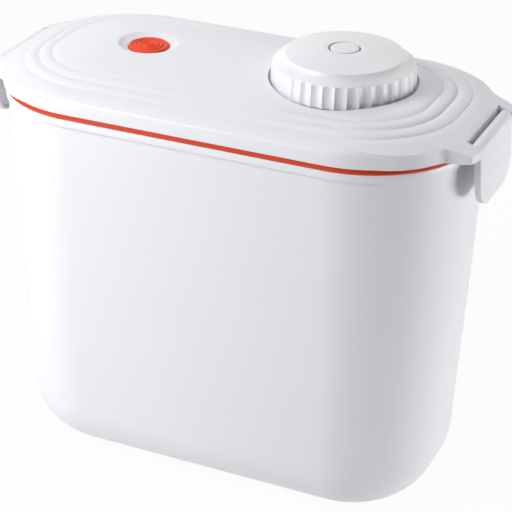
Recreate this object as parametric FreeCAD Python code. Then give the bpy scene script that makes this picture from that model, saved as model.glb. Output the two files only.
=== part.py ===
import FreeCAD, Part

import math
import os

os.makedirs("parts", exist_ok=True)
Vector = FreeCAD.Vector

# Vacuum food canister, millimetres. +Z is up, the base stands on z = 0 at the centre of the plan,
# +X points to the end that has the pump knob, and the long front faces -Y.

# Plan of the rim: a rounded rectangle that every ring below is an inset of.
RIM_LENGTH = 300.0
RIM_WIDTH = 155.0
END_FLAT = 19.0
SMALLEST_CORNER_R = 1.0

# Tub.
TUB_HEIGHT = 245.0
TUB_DRAFT = 11.5
TUB_WALL = 3.2
TUB_FLOOR = 3.6
BASE_EDGE_R = 41.0
FOOT_WIDTH = 6.0
FOOT_RELIEF = 1.5
BAND_PROUD = 1.0
BAND_HEIGHT = 5.0
POCKET_HEIGHT = 28.0
POCKET_DEPTH = 1.8

# Rim seal.
SEAL_THICKNESS = 2.7
SEAL_RECESS = 0.8
SEAL_LIP_DEPTH = 7.0
SEAL_LIP_WIDTH = 2.4
SEAL_GAP = 0.3

# Lid cover: skirt, sloped flange, and the terraces that climb inwards to a crowned deck.
# CREASE_HEIGHT is the height of the first crease above the seal.
CREASE_HEIGHT = 13.2
SKIRT_WALL = 3.0
SHOULDER_R = 4.0
FLANGE_SLOPE_DEG = 18.0
TERRACE_INSETS = (12.2, 20.9, 29.2)
TERRACE_RISE = 1.8
ROLL_WIDTH = 6.0
CROWN_SLOPE_DEG = 13.0
CROWN_FLAT = 1.0
TOP_WALL = 3.0
PAD_DEPTH = 8.2

# Lid liner, the plate that closes the lid from below.
LINER_PLATE = 3.0
LINER_WALL = 2.2
LINER_DEPTH = 5.0
LINER_FLANGE = 2.0
FIT_GAP = 0.3

# Ears and end latches.
EAR_REACH = 10.6
EAR_HALF_WIDTH = 38.0
EAR_ROOT_HALF_WIDTH = 53.0
EAR_ROOT_X = 24.0
EAR_TIP_R = 5.0
EAR_HANG = 2.0
LATCH_WIDTH = 58.0
LATCH_LENGTH = 36.7
LATCH_THICKNESS = 4.0
LATCH_SKIN = 2.0
LATCH_FLARE_DEG = 3.0
LATCH_CORNER_R = 17.0
LATCH_SIDE_GAP = 0.5
KNUCKLE_R = 4.0
KNUCKLE_SET_DOWN = 1.0
HINGE_PIN_R = 1.6
HINGE_OUT = 5.0
PIN_END_SHY = 1.5
PIN_RUNNING_GAP = 0.05
HOOK_WIDTH = 28.0
HOOK_HEIGHT = 3.0
HOOK_TIP_GAP = 0.5
HOOK_UNDER_GAP = 1.4

# Pump knob on the deck.
PUMP_FROM_END = 86.0
KNOB_R = 43.5
KNOB_SIDE = 15.0
KNOB_BEVEL_R = 35.3
KNOB_BEVEL_RISE = 4.1
KNOB_DOME_RISE = 3.2
BEVEL_BULGE = 0.58
KNOB_WALL = 2.4
KNOB_WELL_GAP = 1.0
KNOB_WELL_DEPTH = 4.7
KNOB_LIFT = 0.5
FLUTE_COUNT = 38
FLUTE_R = 6.6
FLUTE_DEPTH = 0.85
CAP_R = 9.3
CAP_GROOVE = 0.7
CAP_THICKNESS = 1.6

# Twist pump: a drum with helical slots turns round a sleeve with straight ones.
TWIST_DEG = 120.0
STROKE = 15.0
SLEEVE_R = 16.0
SLEEVE_BORE_R = 13.0
SLEEVE_CAP = 2.5
SLEEVE_FOOT = 2.0
SLEEVE_FOOT_R = 24.0
DRUM_WALL = 3.7
DRUM_GAP = 0.3
DRUM_WEB = 2.0
DRUM_FLANGE = 2.0
DRUM_TAIL = 13.5
JOURNAL_GAP = 0.08
FOLLOWER_R = 2.0
SLOT_CLEARANCE = 0.35
CUTTER_OVERRUN = 1.0
FOLLOWER_END_GAP = 0.4
CROSSHEAD_HEIGHT = 8.0
ROD_R = 6.0
BARREL_R = 30.0
BARREL_WALL = 3.0
BARREL_TOP = 3.0
BARREL_FLANGE = 10.0
PISTON_HEIGHT = 7.0
PISTON_GAP = 0.6
PISTON_SEAL_HEIGHT = 2.6
PISTON_SEAL_DEPTH = 2.4
PISTON_SEAL_GAP = 0.1
PISTON_END_GAP = 1.0
BASE_PLATE = 3.0
BASE_SPIGOT = 3.0
VALVE_FLAP_R = 9.0
VALVE_FLAP = 0.8
VALVE_STEM_R = 1.6
VALVE_BEAD_R = 2.4
VALVE_BEAD = 1.2
PORT_R = 1.5
PORT_CIRCLE_R = 5.5
PORT_COUNT = 6
FILTER_THICKNESS = 3.0
FILTER_COVER_WALL = 1.6
FILTER_COVER_LAP = 4.0
FILTER_HOLE_R = 1.3
FILTER_HOLE_PITCH = 10.0
FILTER_HOLE_COUNTS = (1, 6, 12)

# Release valve under the press button.
VALVE_FROM_END = 86.0
DISH_R = 18.0
DISH_DEPTH = 2.8
BUTTON_R = 12.5
BUTTON_GAP = 0.4
BUTTON_SET_DOWN = 0.6
BUTTON_SKIRT = 7.0
BUTTON_WALL = 2.0
BUTTON_TRAVEL = 3.0
BUTTON_CROWN = 0.8
RIPPLE_RADII = (4.0, 7.0, 10.0)
RIPPLE_R = 0.6
RIPPLE_LIFT = 0.2
BUSH_R = 16.0
BUSH_WALL = 2.0
BUSH_FLANGE_R = 20.0
BUSH_FLANGE = 2.0
STEM_R = 3.0
STEM_GAP = 0.08
STEM_SPIGOT_R = 4.5
AIRWAY_R = 5.5
VALVE_PAD_R = 10.0
VALVE_PAD = 2.2
STEM_FOOT_R = 7.0
STEM_FOOT = 1.5
SPRING_R = 8.0
SPRING_WIRE_R = 0.7
SPRING_TURNS = 3.0

# Screws.
SCREW_R = 1.5
SCREW_HEAD_R = 3.0
SCREW_HEAD = 1.8
SCREW_DEPTH = 8.0
SCREW_GAP = 0.05
BOSS_R = 4.0
LINER_SCREW_FROM_END = 35.0
LINER_SCREW_FROM_SIDE = 31.5
KNOB_SCREW_CIRCLE_R = 31.0
SHOULDER_SCREW_R = 4.0
SHOULDER_HEAD_R = 7.5
SHOULDER_HEAD = 1.6
SHOULDER_THREAD_R = 2.5

# Places and heights worked out from the sizes above.
RIM_CORNER_R = (RIM_WIDTH - END_FLAT) / 2
PUMP_X = RIM_LENGTH / 2 - PUMP_FROM_END
VALVE_X = VALVE_FROM_END - RIM_LENGTH / 2
SEAL_TOP = TUB_HEIGHT + SEAL_GAP + SEAL_THICKNESS
FIRST_CREASE = SEAL_TOP + CREASE_HEIGHT
DECK_EDGE = FIRST_CREASE + TERRACE_RISE * len(TERRACE_INSETS)
DECK_INSET = TERRACE_INSETS[-1] + ROLL_WIDTH
CROWN_RUN = RIM_CORNER_R - CROWN_FLAT - DECK_INSET
DECK = DECK_EDGE + CROWN_RUN * math.tan(math.radians(CROWN_SLOPE_DEG) / 2)
DECK_UNDER = DECK - PAD_DEPTH
FLANGE_FALL = math.tan(math.radians(FLANGE_SLOPE_DEG))
LINER_TOP = TUB_HEIGHT - LINER_DEPTH + LINER_PLATE
LINER_UNDER = LINER_TOP - LINER_PLATE
LIP_LOW = TUB_HEIGHT + SEAL_GAP - SEAL_LIP_DEPTH
LIP_INSET = BAND_PROUD + TUB_DRAFT * (1 - LIP_LOW / TUB_HEIGHT) + TUB_WALL + SEAL_GAP
LINER_INSET = LIP_INSET + SEAL_LIP_WIDTH + FIT_GAP
WELL_FLOOR = DECK - KNOB_WELL_DEPTH
KNOB_FOOT = WELL_FLOOR + KNOB_LIFT
KNOB_SHOULDER = KNOB_FOOT + KNOB_SIDE
KNOB_BEVEL_TOP = KNOB_SHOULDER + KNOB_BEVEL_RISE
KNOB_TOP = KNOB_BEVEL_TOP + KNOB_DOME_RISE
PUMP = Vector(PUMP_X, 0, 0)
VALVE = Vector(VALVE_X, 0, 0)


def outline(inset, z):
    """Closed wire of the rim's rounded rectangle, moved inwards by inset, at height z."""
    half_x = RIM_LENGTH / 2 - inset
    half_y = RIM_WIDTH / 2 - inset
    r = max(RIM_CORNER_R - inset, SMALLEST_CORNER_R)
    return rounded_rectangle(half_x, half_y, r, z)


def rounded_rectangle(half_x, half_y, r, z):
    """Closed wire of four lines and four arcs, centred on the Z axis."""
    edges = []
    corners = [(1, 1), (-1, 1), (-1, -1), (1, -1)]
    ends = []
    for index, (sx, sy) in enumerate(corners):
        centre = Vector(sx * (half_x - r), sy * (half_y - r), z)
        start = math.radians(90 * index)
        points = []
        for turn in (0, math.pi / 4, math.pi / 2):
            angle = start + turn
            points.append(centre + Vector(r * math.cos(angle), r * math.sin(angle), 0))
        ends.append((points[0], points[2]))
        edges.append(Part.Arc(*points).toShape())
    for index in range(4):
        edges.append(Part.makeLine(ends[index][1], ends[(index + 1) % 4][0]))
    return Part.Wire(Part.__sortEdges__(edges))


def prism(inset, low, high):
    """Upright solid on the rim outline moved inwards by inset."""
    return Part.Face(outline(inset, low)).extrude(Vector(0, 0, high - low))


def band(outer_inset, inner_inset, low, high):
    """Upright ring between two insets of the rim outline."""
    return prism(outer_inset, low, high).cut(prism(inner_inset, low, high))


def drafted(low_inset, low, high_inset, high):
    """Solid whose sides lean from one inset of the rim outline to another."""
    return Part.makeLoft([outline(low_inset, low), outline(high_inset, high)], True, True)


def rounded(shape, radius, z):
    """Fillets every edge that lies wholly at height z."""
    picked = []
    for edge in shape.Edges:
        box = edge.BoundBox
        if abs(box.ZMin - z) < 1e-4 and abs(box.ZMax - z) < 1e-4:
            picked.append(edge)
    return shape.makeFillet(radius, picked)


def rod(radius, low, high, centre=Vector(0, 0, 0)):
    """Upright cylinder between two heights."""
    return Part.makeCylinder(radius, high - low, centre + Vector(0, 0, low))


def tube(outer, inner, low, high, centre=Vector(0, 0, 0)):
    """Upright tube between two heights."""
    return rod(outer, low, high, centre).cut(rod(inner, low, high, centre))


def block(x0, x1, y0, y1, z0, z1):
    """Box between two corners."""
    return Part.makeBox(x1 - x0, y1 - y0, z1 - z0, Vector(x0, y0, z0))


def turned(points, centre):
    """Solid of revolution about an upright axis from (radius, height) points."""
    corners = [Vector(r, 0, z) for r, z in points]
    face = Part.Face(Part.makePolygon(corners + corners[:1]))
    solid = face.revolve(Vector(0, 0, 0), Vector(0, 0, 1), 360)
    solid.translate(centre)
    return solid


def dome_arc(radius, low, rise):
    """Arc of a sphere centred on the Z axis, from its rim at height low to its crown."""
    sphere_r = (radius ** 2 + rise ** 2) / (2 * rise)
    centre_z = low + rise - sphere_r
    half_angle = math.asin(radius / sphere_r) / 2
    middle = Vector(sphere_r * math.sin(half_angle), 0, centre_z + sphere_r * math.cos(half_angle))
    return Part.Arc(Vector(radius, 0, low), middle, Vector(0, 0, low + rise)).toShape()


def around(count, radius, centre=Vector(0, 0, 0), first_deg=0.0):
    """Centres of count places spaced evenly on a circle."""
    places = []
    for index in range(count):
        angle = math.radians(first_deg + 360.0 * index / count)
        places.append(centre + Vector(radius * math.cos(angle), radius * math.sin(angle), 0))
    return places


def joined(shapes):
    """One solid from overlapping or touching shapes."""
    return shapes[0].multiFuse(shapes[1:]).removeSplitter()


def without(shape, cutters):
    """Shape with every cutter taken out of it."""
    return shape.cut(Part.makeCompound(cutters)) if len(cutters) > 1 else shape.cut(cutters[0])


def mirrored_x(shape):
    """Copy on the other end of the canister."""
    return shape.mirror(Vector(0, 0, 0), Vector(1, 0, 0))


def screw(head_under, centre):
    """Pan-head screw that points up, with its head below head_under."""
    shank = rod(SCREW_R - SCREW_GAP, head_under, head_under + SCREW_DEPTH, centre)
    head = rod(SCREW_HEAD_R, head_under - SCREW_HEAD, head_under, centre)
    return shank.fuse(head).removeSplitter()


def wall_inset(z):
    """Inset of the tub's outer wall below the rim band at height z."""
    return BAND_PROUD + TUB_DRAFT * (1 - z / TUB_HEIGHT)


def make_tub():
    """Drafted tub with a soft base edge, a proud rim band, finger pockets and a foot ring."""
    body = drafted(wall_inset(0), 0, wall_inset(TUB_HEIGHT), TUB_HEIGHT)
    body = rounded(body, BASE_EDGE_R, 0)
    band_low = TUB_HEIGHT - BAND_HEIGHT
    body = body.fuse(prism(0, band_low, TUB_HEIGHT)).removeSplitter()
    hollow = drafted(wall_inset(TUB_FLOOR) + TUB_WALL, TUB_FLOOR,
                     wall_inset(TUB_HEIGHT) + TUB_WALL, TUB_HEIGHT)
    hollow = rounded(hollow, BASE_EDGE_R - TUB_WALL, TUB_FLOOR)
    body = body.cut(hollow)
    pocket_low = band_low - POCKET_HEIGHT
    scoop = block(0, RIM_LENGTH, -LATCH_WIDTH / 2, LATCH_WIDTH / 2, pocket_low, band_low)
    scoop = scoop.cut(drafted(wall_inset(pocket_low), pocket_low,
                              wall_inset(band_low) + POCKET_DEPTH, band_low))
    body = body.cut(scoop).cut(mirrored_x(scoop))
    relief = prism(wall_inset(0) + BASE_EDGE_R + FOOT_WIDTH, 0, FOOT_RELIEF)
    return body.cut(relief)


def make_rim_seal():
    """Seal with a flat bead on the tub's rim and a lip that hangs inside its mouth."""
    low = TUB_HEIGHT + SEAL_GAP
    inner = LINER_INSET - FIT_GAP
    bead = band(SEAL_RECESS, inner, low, SEAL_TOP)
    lip = band(LIP_INSET, inner, LIP_LOW, low)
    return bead.fuse(lip).removeSplitter()


def section_point(inset, z):
    """Point of the lid's section, seen at the right end."""
    return Vector(RIM_LENGTH / 2 - inset, 0, z)


def arc_ending(start, end, slope):
    """Arc between two (inset, height) points that climbs inwards and reaches the second at a given slope."""
    back_x = start[0] - end[0]
    back_z = start[1] - end[1]
    radius = (back_x ** 2 + back_z ** 2) / (2 * (back_x * math.sin(slope) - back_z * math.cos(slope)))
    centre_x = end[0] + radius * math.sin(slope)
    centre_z = end[1] - radius * math.cos(slope)
    half_x = (start[0] + end[0]) / 2 - centre_x
    half_z = (start[1] + end[1]) / 2 - centre_z
    reach = radius / math.hypot(half_x, half_z)
    middle = section_point(centre_x + half_x * reach, centre_z + half_z * reach)
    return Part.Arc(section_point(*start), middle, section_point(*end)).toShape()


def flange_height(inset):
    """Height of the sloped flange between the skirt and the first crease."""
    return FIRST_CREASE - (TERRACE_INSETS[0] - inset) * FLANGE_FALL


def creases():
    """(inset, height) of the foot of each terrace, from the rim inwards."""
    return [(inset, FIRST_CREASE + TERRACE_RISE * index) for index, inset in enumerate(TERRACE_INSETS)]


def lid_top_section():
    """Face of the lid's section: skirt, shoulder, flange, terraces and the crowned deck."""
    slope = math.radians(FLANGE_SLOPE_DEG)
    shoulder_in = SHOULDER_R * (1 - math.sin(slope))
    shoulder_top = flange_height(shoulder_in)
    shoulder_centre = shoulder_top - SHOULDER_R * math.cos(slope)
    turn = math.radians(135) + slope / 2
    shoulder_middle = section_point(SHOULDER_R * (1 + math.cos(turn)),
                                    shoulder_centre + SHOULDER_R * math.sin(turn))
    shoulder = Part.Arc(section_point(0, shoulder_centre), shoulder_middle,
                        section_point(shoulder_in, shoulder_top)).toShape()
    feet = creases()
    roll_top = (DECK_INSET, DECK_EDGE)
    spine = (DECK_INSET + CROWN_RUN, DECK)
    edges = [Part.makeLine(section_point(0, SEAL_TOP), section_point(0, shoulder_centre)), shoulder,
             Part.makeLine(section_point(shoulder_in, shoulder_top), section_point(*feet[0]))]
    for outer, inner in zip(feet, feet[1:]):
        edges.append(arc_ending(outer, inner, 0.0))
    edges += [arc_ending(feet[-1], roll_top, math.radians(CROWN_SLOPE_DEG)),
              arc_ending(roll_top, spine, 0.0),
              Part.makeLine(section_point(*spine), section_point(RIM_CORNER_R, DECK)),
              Part.makeLine(section_point(RIM_CORNER_R, DECK), section_point(RIM_CORNER_R, SEAL_TOP)),
              Part.makeLine(section_point(RIM_CORNER_R, SEAL_TOP), section_point(0, SEAL_TOP))]
    return Part.Face(Part.Wire(edges))


def lid_hollow_section():
    """Face of the room under the lid's shell, one wall below its creases."""
    points = [(SKIRT_WALL, SEAL_TOP), (SKIRT_WALL, flange_height(SKIRT_WALL) - TOP_WALL)]
    points += [(inset, z - TOP_WALL) for inset, z in creases()]
    points += [(DECK_INSET, DECK_EDGE - TOP_WALL), (RIM_CORNER_R, DECK - TOP_WALL),
               (RIM_CORNER_R, SEAL_TOP)]
    corners = [section_point(inset, z) for inset, z in points]
    return Part.Face(Part.makePolygon(corners + corners[:1]))


def moulded(section, top):
    """Solid with the given section all round the rim outline and a flat spine at height top."""
    corner_x = RIM_LENGTH / 2 - RIM_CORNER_R
    half_flat = END_FLAT / 2
    end_face = section.copy()
    end_face.translate(Vector(0, -half_flat, 0))
    end = end_face.extrude(Vector(0, END_FLAT, 0))
    turn_face = section.copy()
    turn_face.translate(Vector(0, half_flat, 0))
    corner_centre = Vector(corner_x, half_flat, 0)
    corner = turn_face.revolve(corner_centre, Vector(0, 0, 1), 90)
    turn_face.rotate(corner_centre, Vector(0, 0, 1), 90)
    side = turn_face.extrude(Vector(-2 * corner_x, 0, 0))
    far = Vector(0, 1, 0)
    spine = block(-corner_x, corner_x, -half_flat, half_flat, SEAL_TOP, top)
    right_pair = [corner, corner.mirror(Vector(0, 0, 0), far)]
    pieces = [spine, end, mirrored_x(end), side, side.mirror(Vector(0, 0, 0), far)]
    pieces += right_pair + [mirrored_x(piece) for piece in right_pair]
    return joined(pieces)


def ear_form():
    """Room below the flange's slope, carried on past the rim on all sides."""
    low = SEAL_TOP - EAR_HANG
    far = -2 * EAR_REACH
    points = [(far, low), (far, flange_height(far)), creases()[0],
              (RIM_CORNER_R, FIRST_CREASE), (RIM_CORNER_R, low)]
    corners = [section_point(inset, z) for inset, z in points]
    return moulded(Part.Face(Part.makePolygon(corners + corners[:1])), FIRST_CREASE)


def ear_blank():
    """The lid's right ear before its latch notch: a shelf that falls with the flange to its tip."""
    tip = RIM_LENGTH / 2 + EAR_REACH
    root = RIM_LENGTH / 2 - EAR_ROOT_X
    low = SEAL_TOP - EAR_HANG
    corners = [(root, -EAR_ROOT_HALF_WIDTH), (tip, -EAR_HALF_WIDTH),
               (tip, EAR_HALF_WIDTH), (root, EAR_ROOT_HALF_WIDTH)]
    points = [Vector(x, y, low) for x, y in corners]
    shelf = Part.Face(Part.makePolygon(points + points[:1])).extrude(Vector(0, 0, FIRST_CREASE - low))
    upright = [edge for edge in shelf.Edges
               if edge.BoundBox.XMin > tip - 1e-4 and edge.BoundBox.ZLength > CREASE_HEIGHT / 2]
    shelf = shelf.makeFillet(EAR_TIP_R, upright)
    over_tub = block(0, RIM_LENGTH / 2 + HOOK_TIP_GAP, -RIM_WIDTH, RIM_WIDTH, low, SEAL_TOP)
    return shelf.common(ear_form()).cut(over_tub)


def hinge_x():
    """Distance of the latch hinge from the middle of the canister."""
    return RIM_LENGTH / 2 + HINGE_OUT


def hinge_z():
    """Height of the latch hinge, whose knuckle sits a little below the ear's slope."""
    return flange_height(-HINGE_OUT) - KNUCKLE_R - KNUCKLE_SET_DOWN


def across(radius, half_length, x, z):
    """Cylinder along Y, centred on y = 0."""
    return Part.makeCylinder(radius, 2 * half_length, Vector(x, -half_length, z), Vector(0, 1, 0))


def make_ear():
    """Right ear with the notch for the latch and the bore for its hinge pin."""
    half_notch = LATCH_WIDTH / 2 + LATCH_SIDE_GAP
    notch = block(RIM_LENGTH / 2, RIM_LENGTH, -half_notch, half_notch, 0, DECK)
    bore = across(HINGE_PIN_R, RIM_WIDTH, hinge_x(), hinge_z())
    return ear_blank().cut(notch).cut(bore)


def liner_screw_places():
    """The four corners where screws hold the liner to the cover."""
    places = []
    screw_x = RIM_LENGTH / 2 - LINER_SCREW_FROM_END
    screw_y = RIM_WIDTH / 2 - LINER_SCREW_FROM_SIDE
    for sx in (1, -1):
        for sy in (1, -1):
            places.append(Vector(sx * screw_x, sy * screw_y, 0))
    return places


def barrel_screw_places():
    """The screws round the pump barrel's flange."""
    return around(4, BARREL_R + BARREL_FLANGE / 2, PUMP, 45.0)


def drum_r():
    """Outer radius of the cam drum, which turns in the deck's collar."""
    return SLEEVE_R + DRUM_GAP + DRUM_WALL


def barrel_top():
    """Top of the pump barrel, which the sleeve stands on."""
    return WELL_FLOOR - DRUM_TAIL - SLEEVE_FOOT - DRUM_GAP


def make_lid_cover():
    """Top shell of the lid: skirt, shoulder, terraces, deck, ears, dish, knob well and bosses."""
    outside = moulded(lid_top_section(), DECK)
    hollow = moulded(lid_hollow_section(), DECK - TOP_WALL)
    ear = make_ear().cut(hollow)
    pads = joined([rod(KNOB_R + KNOB_WELL_GAP + TOP_WALL, DECK_UNDER, DECK, PUMP),
                   rod(BUSH_FLANGE_R, DECK_UNDER, DECK, VALVE)]).common(outside)
    bosses = [rod(BOSS_R, LINER_TOP, FIRST_CREASE, place) for place in liner_screw_places()]
    bosses += [rod(BOSS_R, barrel_top(), DECK_UNDER, place) for place in barrel_screw_places()]
    collar = rod(drum_r() + JOURNAL_GAP + DRUM_WALL, barrel_top() + SLEEVE_FOOT + BOSS_R, DECK_UNDER, PUMP)
    body = outside.cut(hollow).multiFuse([ear, mirrored_x(ear), pads, collar] + bosses)
    cuts = [rod(SCREW_R, LINER_TOP, LINER_TOP + SCREW_DEPTH, place) for place in liner_screw_places()]
    for place in barrel_screw_places():
        cuts.append(rod(SCREW_R, barrel_top(), barrel_top() + SCREW_DEPTH, place))
    cuts.append(rod(KNOB_R + KNOB_WELL_GAP, WELL_FLOOR, KNOB_TOP, PUMP))
    cuts.append(rod(drum_r() + JOURNAL_GAP, LINER_UNDER, DECK, PUMP))
    dish = [(0, DECK - DISH_DEPTH), (BUTTON_R + BUTTON_GAP, DECK - DISH_DEPTH), (DISH_R, DECK), (0, DECK)]
    cuts.append(turned(dish, VALVE))
    cuts.append(rod(BUTTON_R + BUTTON_GAP, LINER_TOP, DECK, VALVE))
    for cutter in cuts:
        body = body.cut(cutter)
    return body.removeSplitter()


def make_lid_liner():
    """Plate, plug wall and flange that close the lid from below and hold the seal."""
    flange_low = SEAL_TOP
    plate = prism(LINER_INSET, LINER_UNDER, LINER_TOP)
    wall = band(LINER_INSET, LINER_INSET + LINER_WALL, LINER_TOP, flange_low + LINER_FLANGE)
    flange = band(SKIRT_WALL + FIT_GAP, LINER_INSET + LINER_WALL, flange_low, flange_low + LINER_FLANGE)
    body = joined([plate, wall, flange])
    cuts = [rod(BARREL_R + FIT_GAP, LINER_UNDER, LINER_TOP, PUMP),
            rod(AIRWAY_R, LINER_UNDER, LINER_TOP, VALVE)]
    cuts += [rod(SCREW_R, LINER_UNDER, LINER_TOP, place) for place in liner_screw_places()]
    return without(body, cuts)


def latch_profile(depth, margin):
    """U-shaped latch plate seen from the end, as an upright solid that is depth deep in X."""
    half = LATCH_WIDTH / 2 - margin
    low = hinge_z() - LATCH_LENGTH + margin
    r = LATCH_CORNER_R - margin
    x = hinge_x() + KNUCKLE_R - depth
    plate = block(x, x + depth, -half, half, low, hinge_z())
    upright = []
    for edge in plate.Edges:
        box = edge.BoundBox
        if abs(box.ZMax - low) < 1e-4 and abs(box.XLength - depth) < 1e-4:
            upright.append(edge)
    return plate.makeFillet(r, upright)


def make_latch():
    """Right latch: a shallow tray with a hinge knuckle on top and a hook inside."""
    tray = latch_profile(LATCH_THICKNESS, 0)
    hollow = latch_profile(LATCH_THICKNESS, LATCH_SKIN)
    hollow.translate(Vector(-LATCH_SKIN, 0, 0))
    top = hinge_z() - KNUCKLE_R
    hollow = hollow.common(block(0, RIM_LENGTH, -RIM_WIDTH, RIM_WIDTH, 0, top))
    tray = tray.cut(hollow)
    tray.rotate(Vector(hinge_x(), 0, hinge_z()), Vector(0, 1, 0), -LATCH_FLARE_DEG)
    knuckle = across(KNUCKLE_R, LATCH_WIDTH / 2, hinge_x(), hinge_z())
    hook_top = TUB_HEIGHT - BAND_HEIGHT - HOOK_UNDER_GAP
    hook = block(RIM_LENGTH / 2 + HOOK_TIP_GAP, hinge_x() + KNUCKLE_R,
                 -HOOK_WIDTH / 2, HOOK_WIDTH / 2, hook_top - HOOK_HEIGHT, hook_top)
    body = joined([tray, knuckle, hook])
    return body.cut(across(HINGE_PIN_R + PIN_RUNNING_GAP, RIM_WIDTH, hinge_x(), hinge_z()))


def make_hinge_pin():
    """Steel pin that is held in the ear's two cheeks."""
    return across(HINGE_PIN_R, EAR_HALF_WIDTH - PIN_END_SHY, hinge_x(), hinge_z())


def knob_profile(shrink):
    """Wire of half the knob's section, thinner by shrink all over."""
    side = KNOB_R - shrink
    bevel = KNOB_BEVEL_R - shrink / 2
    foot = Vector(side, 0, KNOB_FOOT)
    shoulder = Vector(side, 0, KNOB_SHOULDER - shrink)
    edge = Vector(bevel, 0, KNOB_BEVEL_TOP - shrink)
    top = Vector(0, 0, KNOB_TOP - shrink)
    turn = Vector(bevel + (side - bevel) * BEVEL_BULGE, 0, shoulder.z + (edge.z - shoulder.z) * BEVEL_BULGE)
    edges = [Part.makeLine(Vector(0, 0, KNOB_FOOT), foot), Part.makeLine(foot, shoulder),
             Part.Arc(shoulder, turn, edge).toShape(), dome_arc(bevel, edge.z, KNOB_DOME_RISE),
             Part.makeLine(top, Vector(0, 0, KNOB_FOOT))]
    return Part.Wire(edges)


def knob_form(shrink):
    """Solid of the knob's outside, thinner by shrink all over."""
    solid = Part.Face(knob_profile(shrink)).revolve(Vector(0, 0, 0), Vector(0, 0, 1), 360)
    solid.translate(PUMP)
    return solid


def make_knob_grip():
    """Fluted cap with a domed top, four screw bosses and a hole for the centre cap."""
    body = knob_form(0)
    flutes = []
    for place in around(FLUTE_COUNT, KNOB_R + FLUTE_R - FLUTE_DEPTH, PUMP):
        flutes.append(rod(FLUTE_R, KNOB_FOOT, KNOB_SHOULDER, place))
    body = body.cut(Part.makeCompound(flutes))
    hollow = knob_form(KNOB_WALL)
    flange_top = KNOB_FOOT + DRUM_FLANGE
    bosses = [rod(BOSS_R, flange_top, KNOB_TOP, place) for place in around(4, KNOB_SCREW_CIRCLE_R, PUMP)]
    body = body.cut(hollow.cut(Part.makeCompound(bosses)))
    cuts = [rod(CAP_R + CAP_GROOVE, KNOB_FOOT, KNOB_TOP + KNOB_WALL, PUMP)]
    for place in around(4, KNOB_SCREW_CIRCLE_R, PUMP):
        cuts.append(rod(SCREW_R, flange_top, flange_top + SCREW_DEPTH, place))
    return without(body, cuts)


def make_knob_cap():
    """Centre cap that closes the knob over its shoulder screw."""
    seat = KNOB_TOP - CAP_THICKNESS
    disc = knob_form(0).common(rod(CAP_R, seat, KNOB_TOP + KNOB_WALL, PUMP))
    return disc


def drum_top():
    """Underside of the drum's web, just above the sleeve's closed end."""
    return KNOB_TOP - CAP_THICKNESS - FIT_GAP - SHOULDER_HEAD - FIT_GAP - DRUM_WEB


def follower_low():
    """Height of the follower pin with the piston at the bottom of its stroke."""
    return WELL_FLOOR - DRUM_TAIL + FOLLOWER_R + SLOT_CLEARANCE + DRUM_WALL / 2


def make_cam_drum():
    """Drum with two helical slots, a flange that carries the knob and a web for its screw."""
    inner = SLEEVE_R + DRUM_GAP
    low = WELL_FLOOR - DRUM_TAIL
    high = drum_top()
    body = joined([tube(drum_r(), inner, low, high, PUMP), rod(drum_r(), high, high + DRUM_WEB, PUMP),
                   tube(KNOB_R - KNOB_WALL - FIT_GAP, inner, KNOB_FOOT, KNOB_FOOT + DRUM_FLANGE, PUMP)])
    body = body.cut(rod(SHOULDER_SCREW_R + STEM_GAP, high, high + DRUM_WEB, PUMP))
    lead = STROKE * 360.0 / TWIST_DEG
    lean = math.cos(math.atan(lead / (2 * math.pi * inner)))
    half = (FOLLOWER_R + SLOT_CLEARANCE) / lean
    margin_deg = math.degrees((FOLLOWER_R + SLOT_CLEARANCE) / inner)
    slots = []
    for first in (90.0, 270.0):
        slots.append(helical_cutter(inner - CUTTER_OVERRUN, drum_r() + JOURNAL_GAP / 2,
                                    half, lead, first, margin_deg))
    for slot in slots:
        body = body.cut(slot)
    holes = [rod(SCREW_R, KNOB_FOOT, KNOB_FOOT + DRUM_FLANGE, place)
             for place in around(4, KNOB_SCREW_CIRCLE_R, PUMP)]
    return without(body, holes)


def helical_cutter(inner, outer, half, lead, first_deg, margin_deg):
    """Slot that climbs with the angle, swept as a tall strip along a helix."""
    sweep_deg = TWIST_DEG + 2 * margin_deg
    start_z = follower_low() - lead * margin_deg / 360.0
    middle = (inner + outer) / 2
    climb = lead * sweep_deg / 360.0
    helix = Part.makeHelix(lead, climb, middle)
    strip = [Vector(inner, 0, -half), Vector(outer, 0, -half), Vector(outer, 0, half), Vector(inner, 0, half)]
    profile = Part.makePolygon(strip + strip[:1])
    sweep = Part.BRepOffsetAPI.MakePipeShell(Part.Wire(helix.Edges))
    axis = Part.Wire([Part.makeLine(Vector(0, 0, 0), Vector(0, 0, climb))])
    sweep.setAuxiliarySpine(axis, True, 0)
    sweep.add(profile)
    sweep.build()
    sweep.makeSolid()
    cutter = sweep.shape()
    cutter.rotate(Vector(0, 0, 0), Vector(0, 0, 1), first_deg - margin_deg)
    cutter.translate(PUMP + Vector(0, 0, start_z))
    return cutter


def make_shoulder_screw():
    """Shoulder screw that holds the knob down on the sleeve and lets it turn."""
    sleeve_top = drum_top() - DRUM_GAP
    head_low = drum_top() + DRUM_WEB + FIT_GAP
    shank = rod(SHOULDER_SCREW_R, sleeve_top, head_low, PUMP)
    head = rod(SHOULDER_HEAD_R, head_low, head_low + SHOULDER_HEAD, PUMP)
    thread = rod(SHOULDER_THREAD_R, sleeve_top - SLEEVE_CAP, sleeve_top, PUMP)
    return joined([shank, head, thread])


def make_knob_screws():
    """Four screws that hold the knob on the drum's flange."""
    places = around(4, KNOB_SCREW_CIRCLE_R, PUMP)
    recess = KNOB_FOOT + SCREW_GAP
    shanks = [rod(SCREW_R - SCREW_GAP, recess, recess + SCREW_DEPTH, place) for place in places]
    return Part.makeCompound(shanks)


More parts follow.
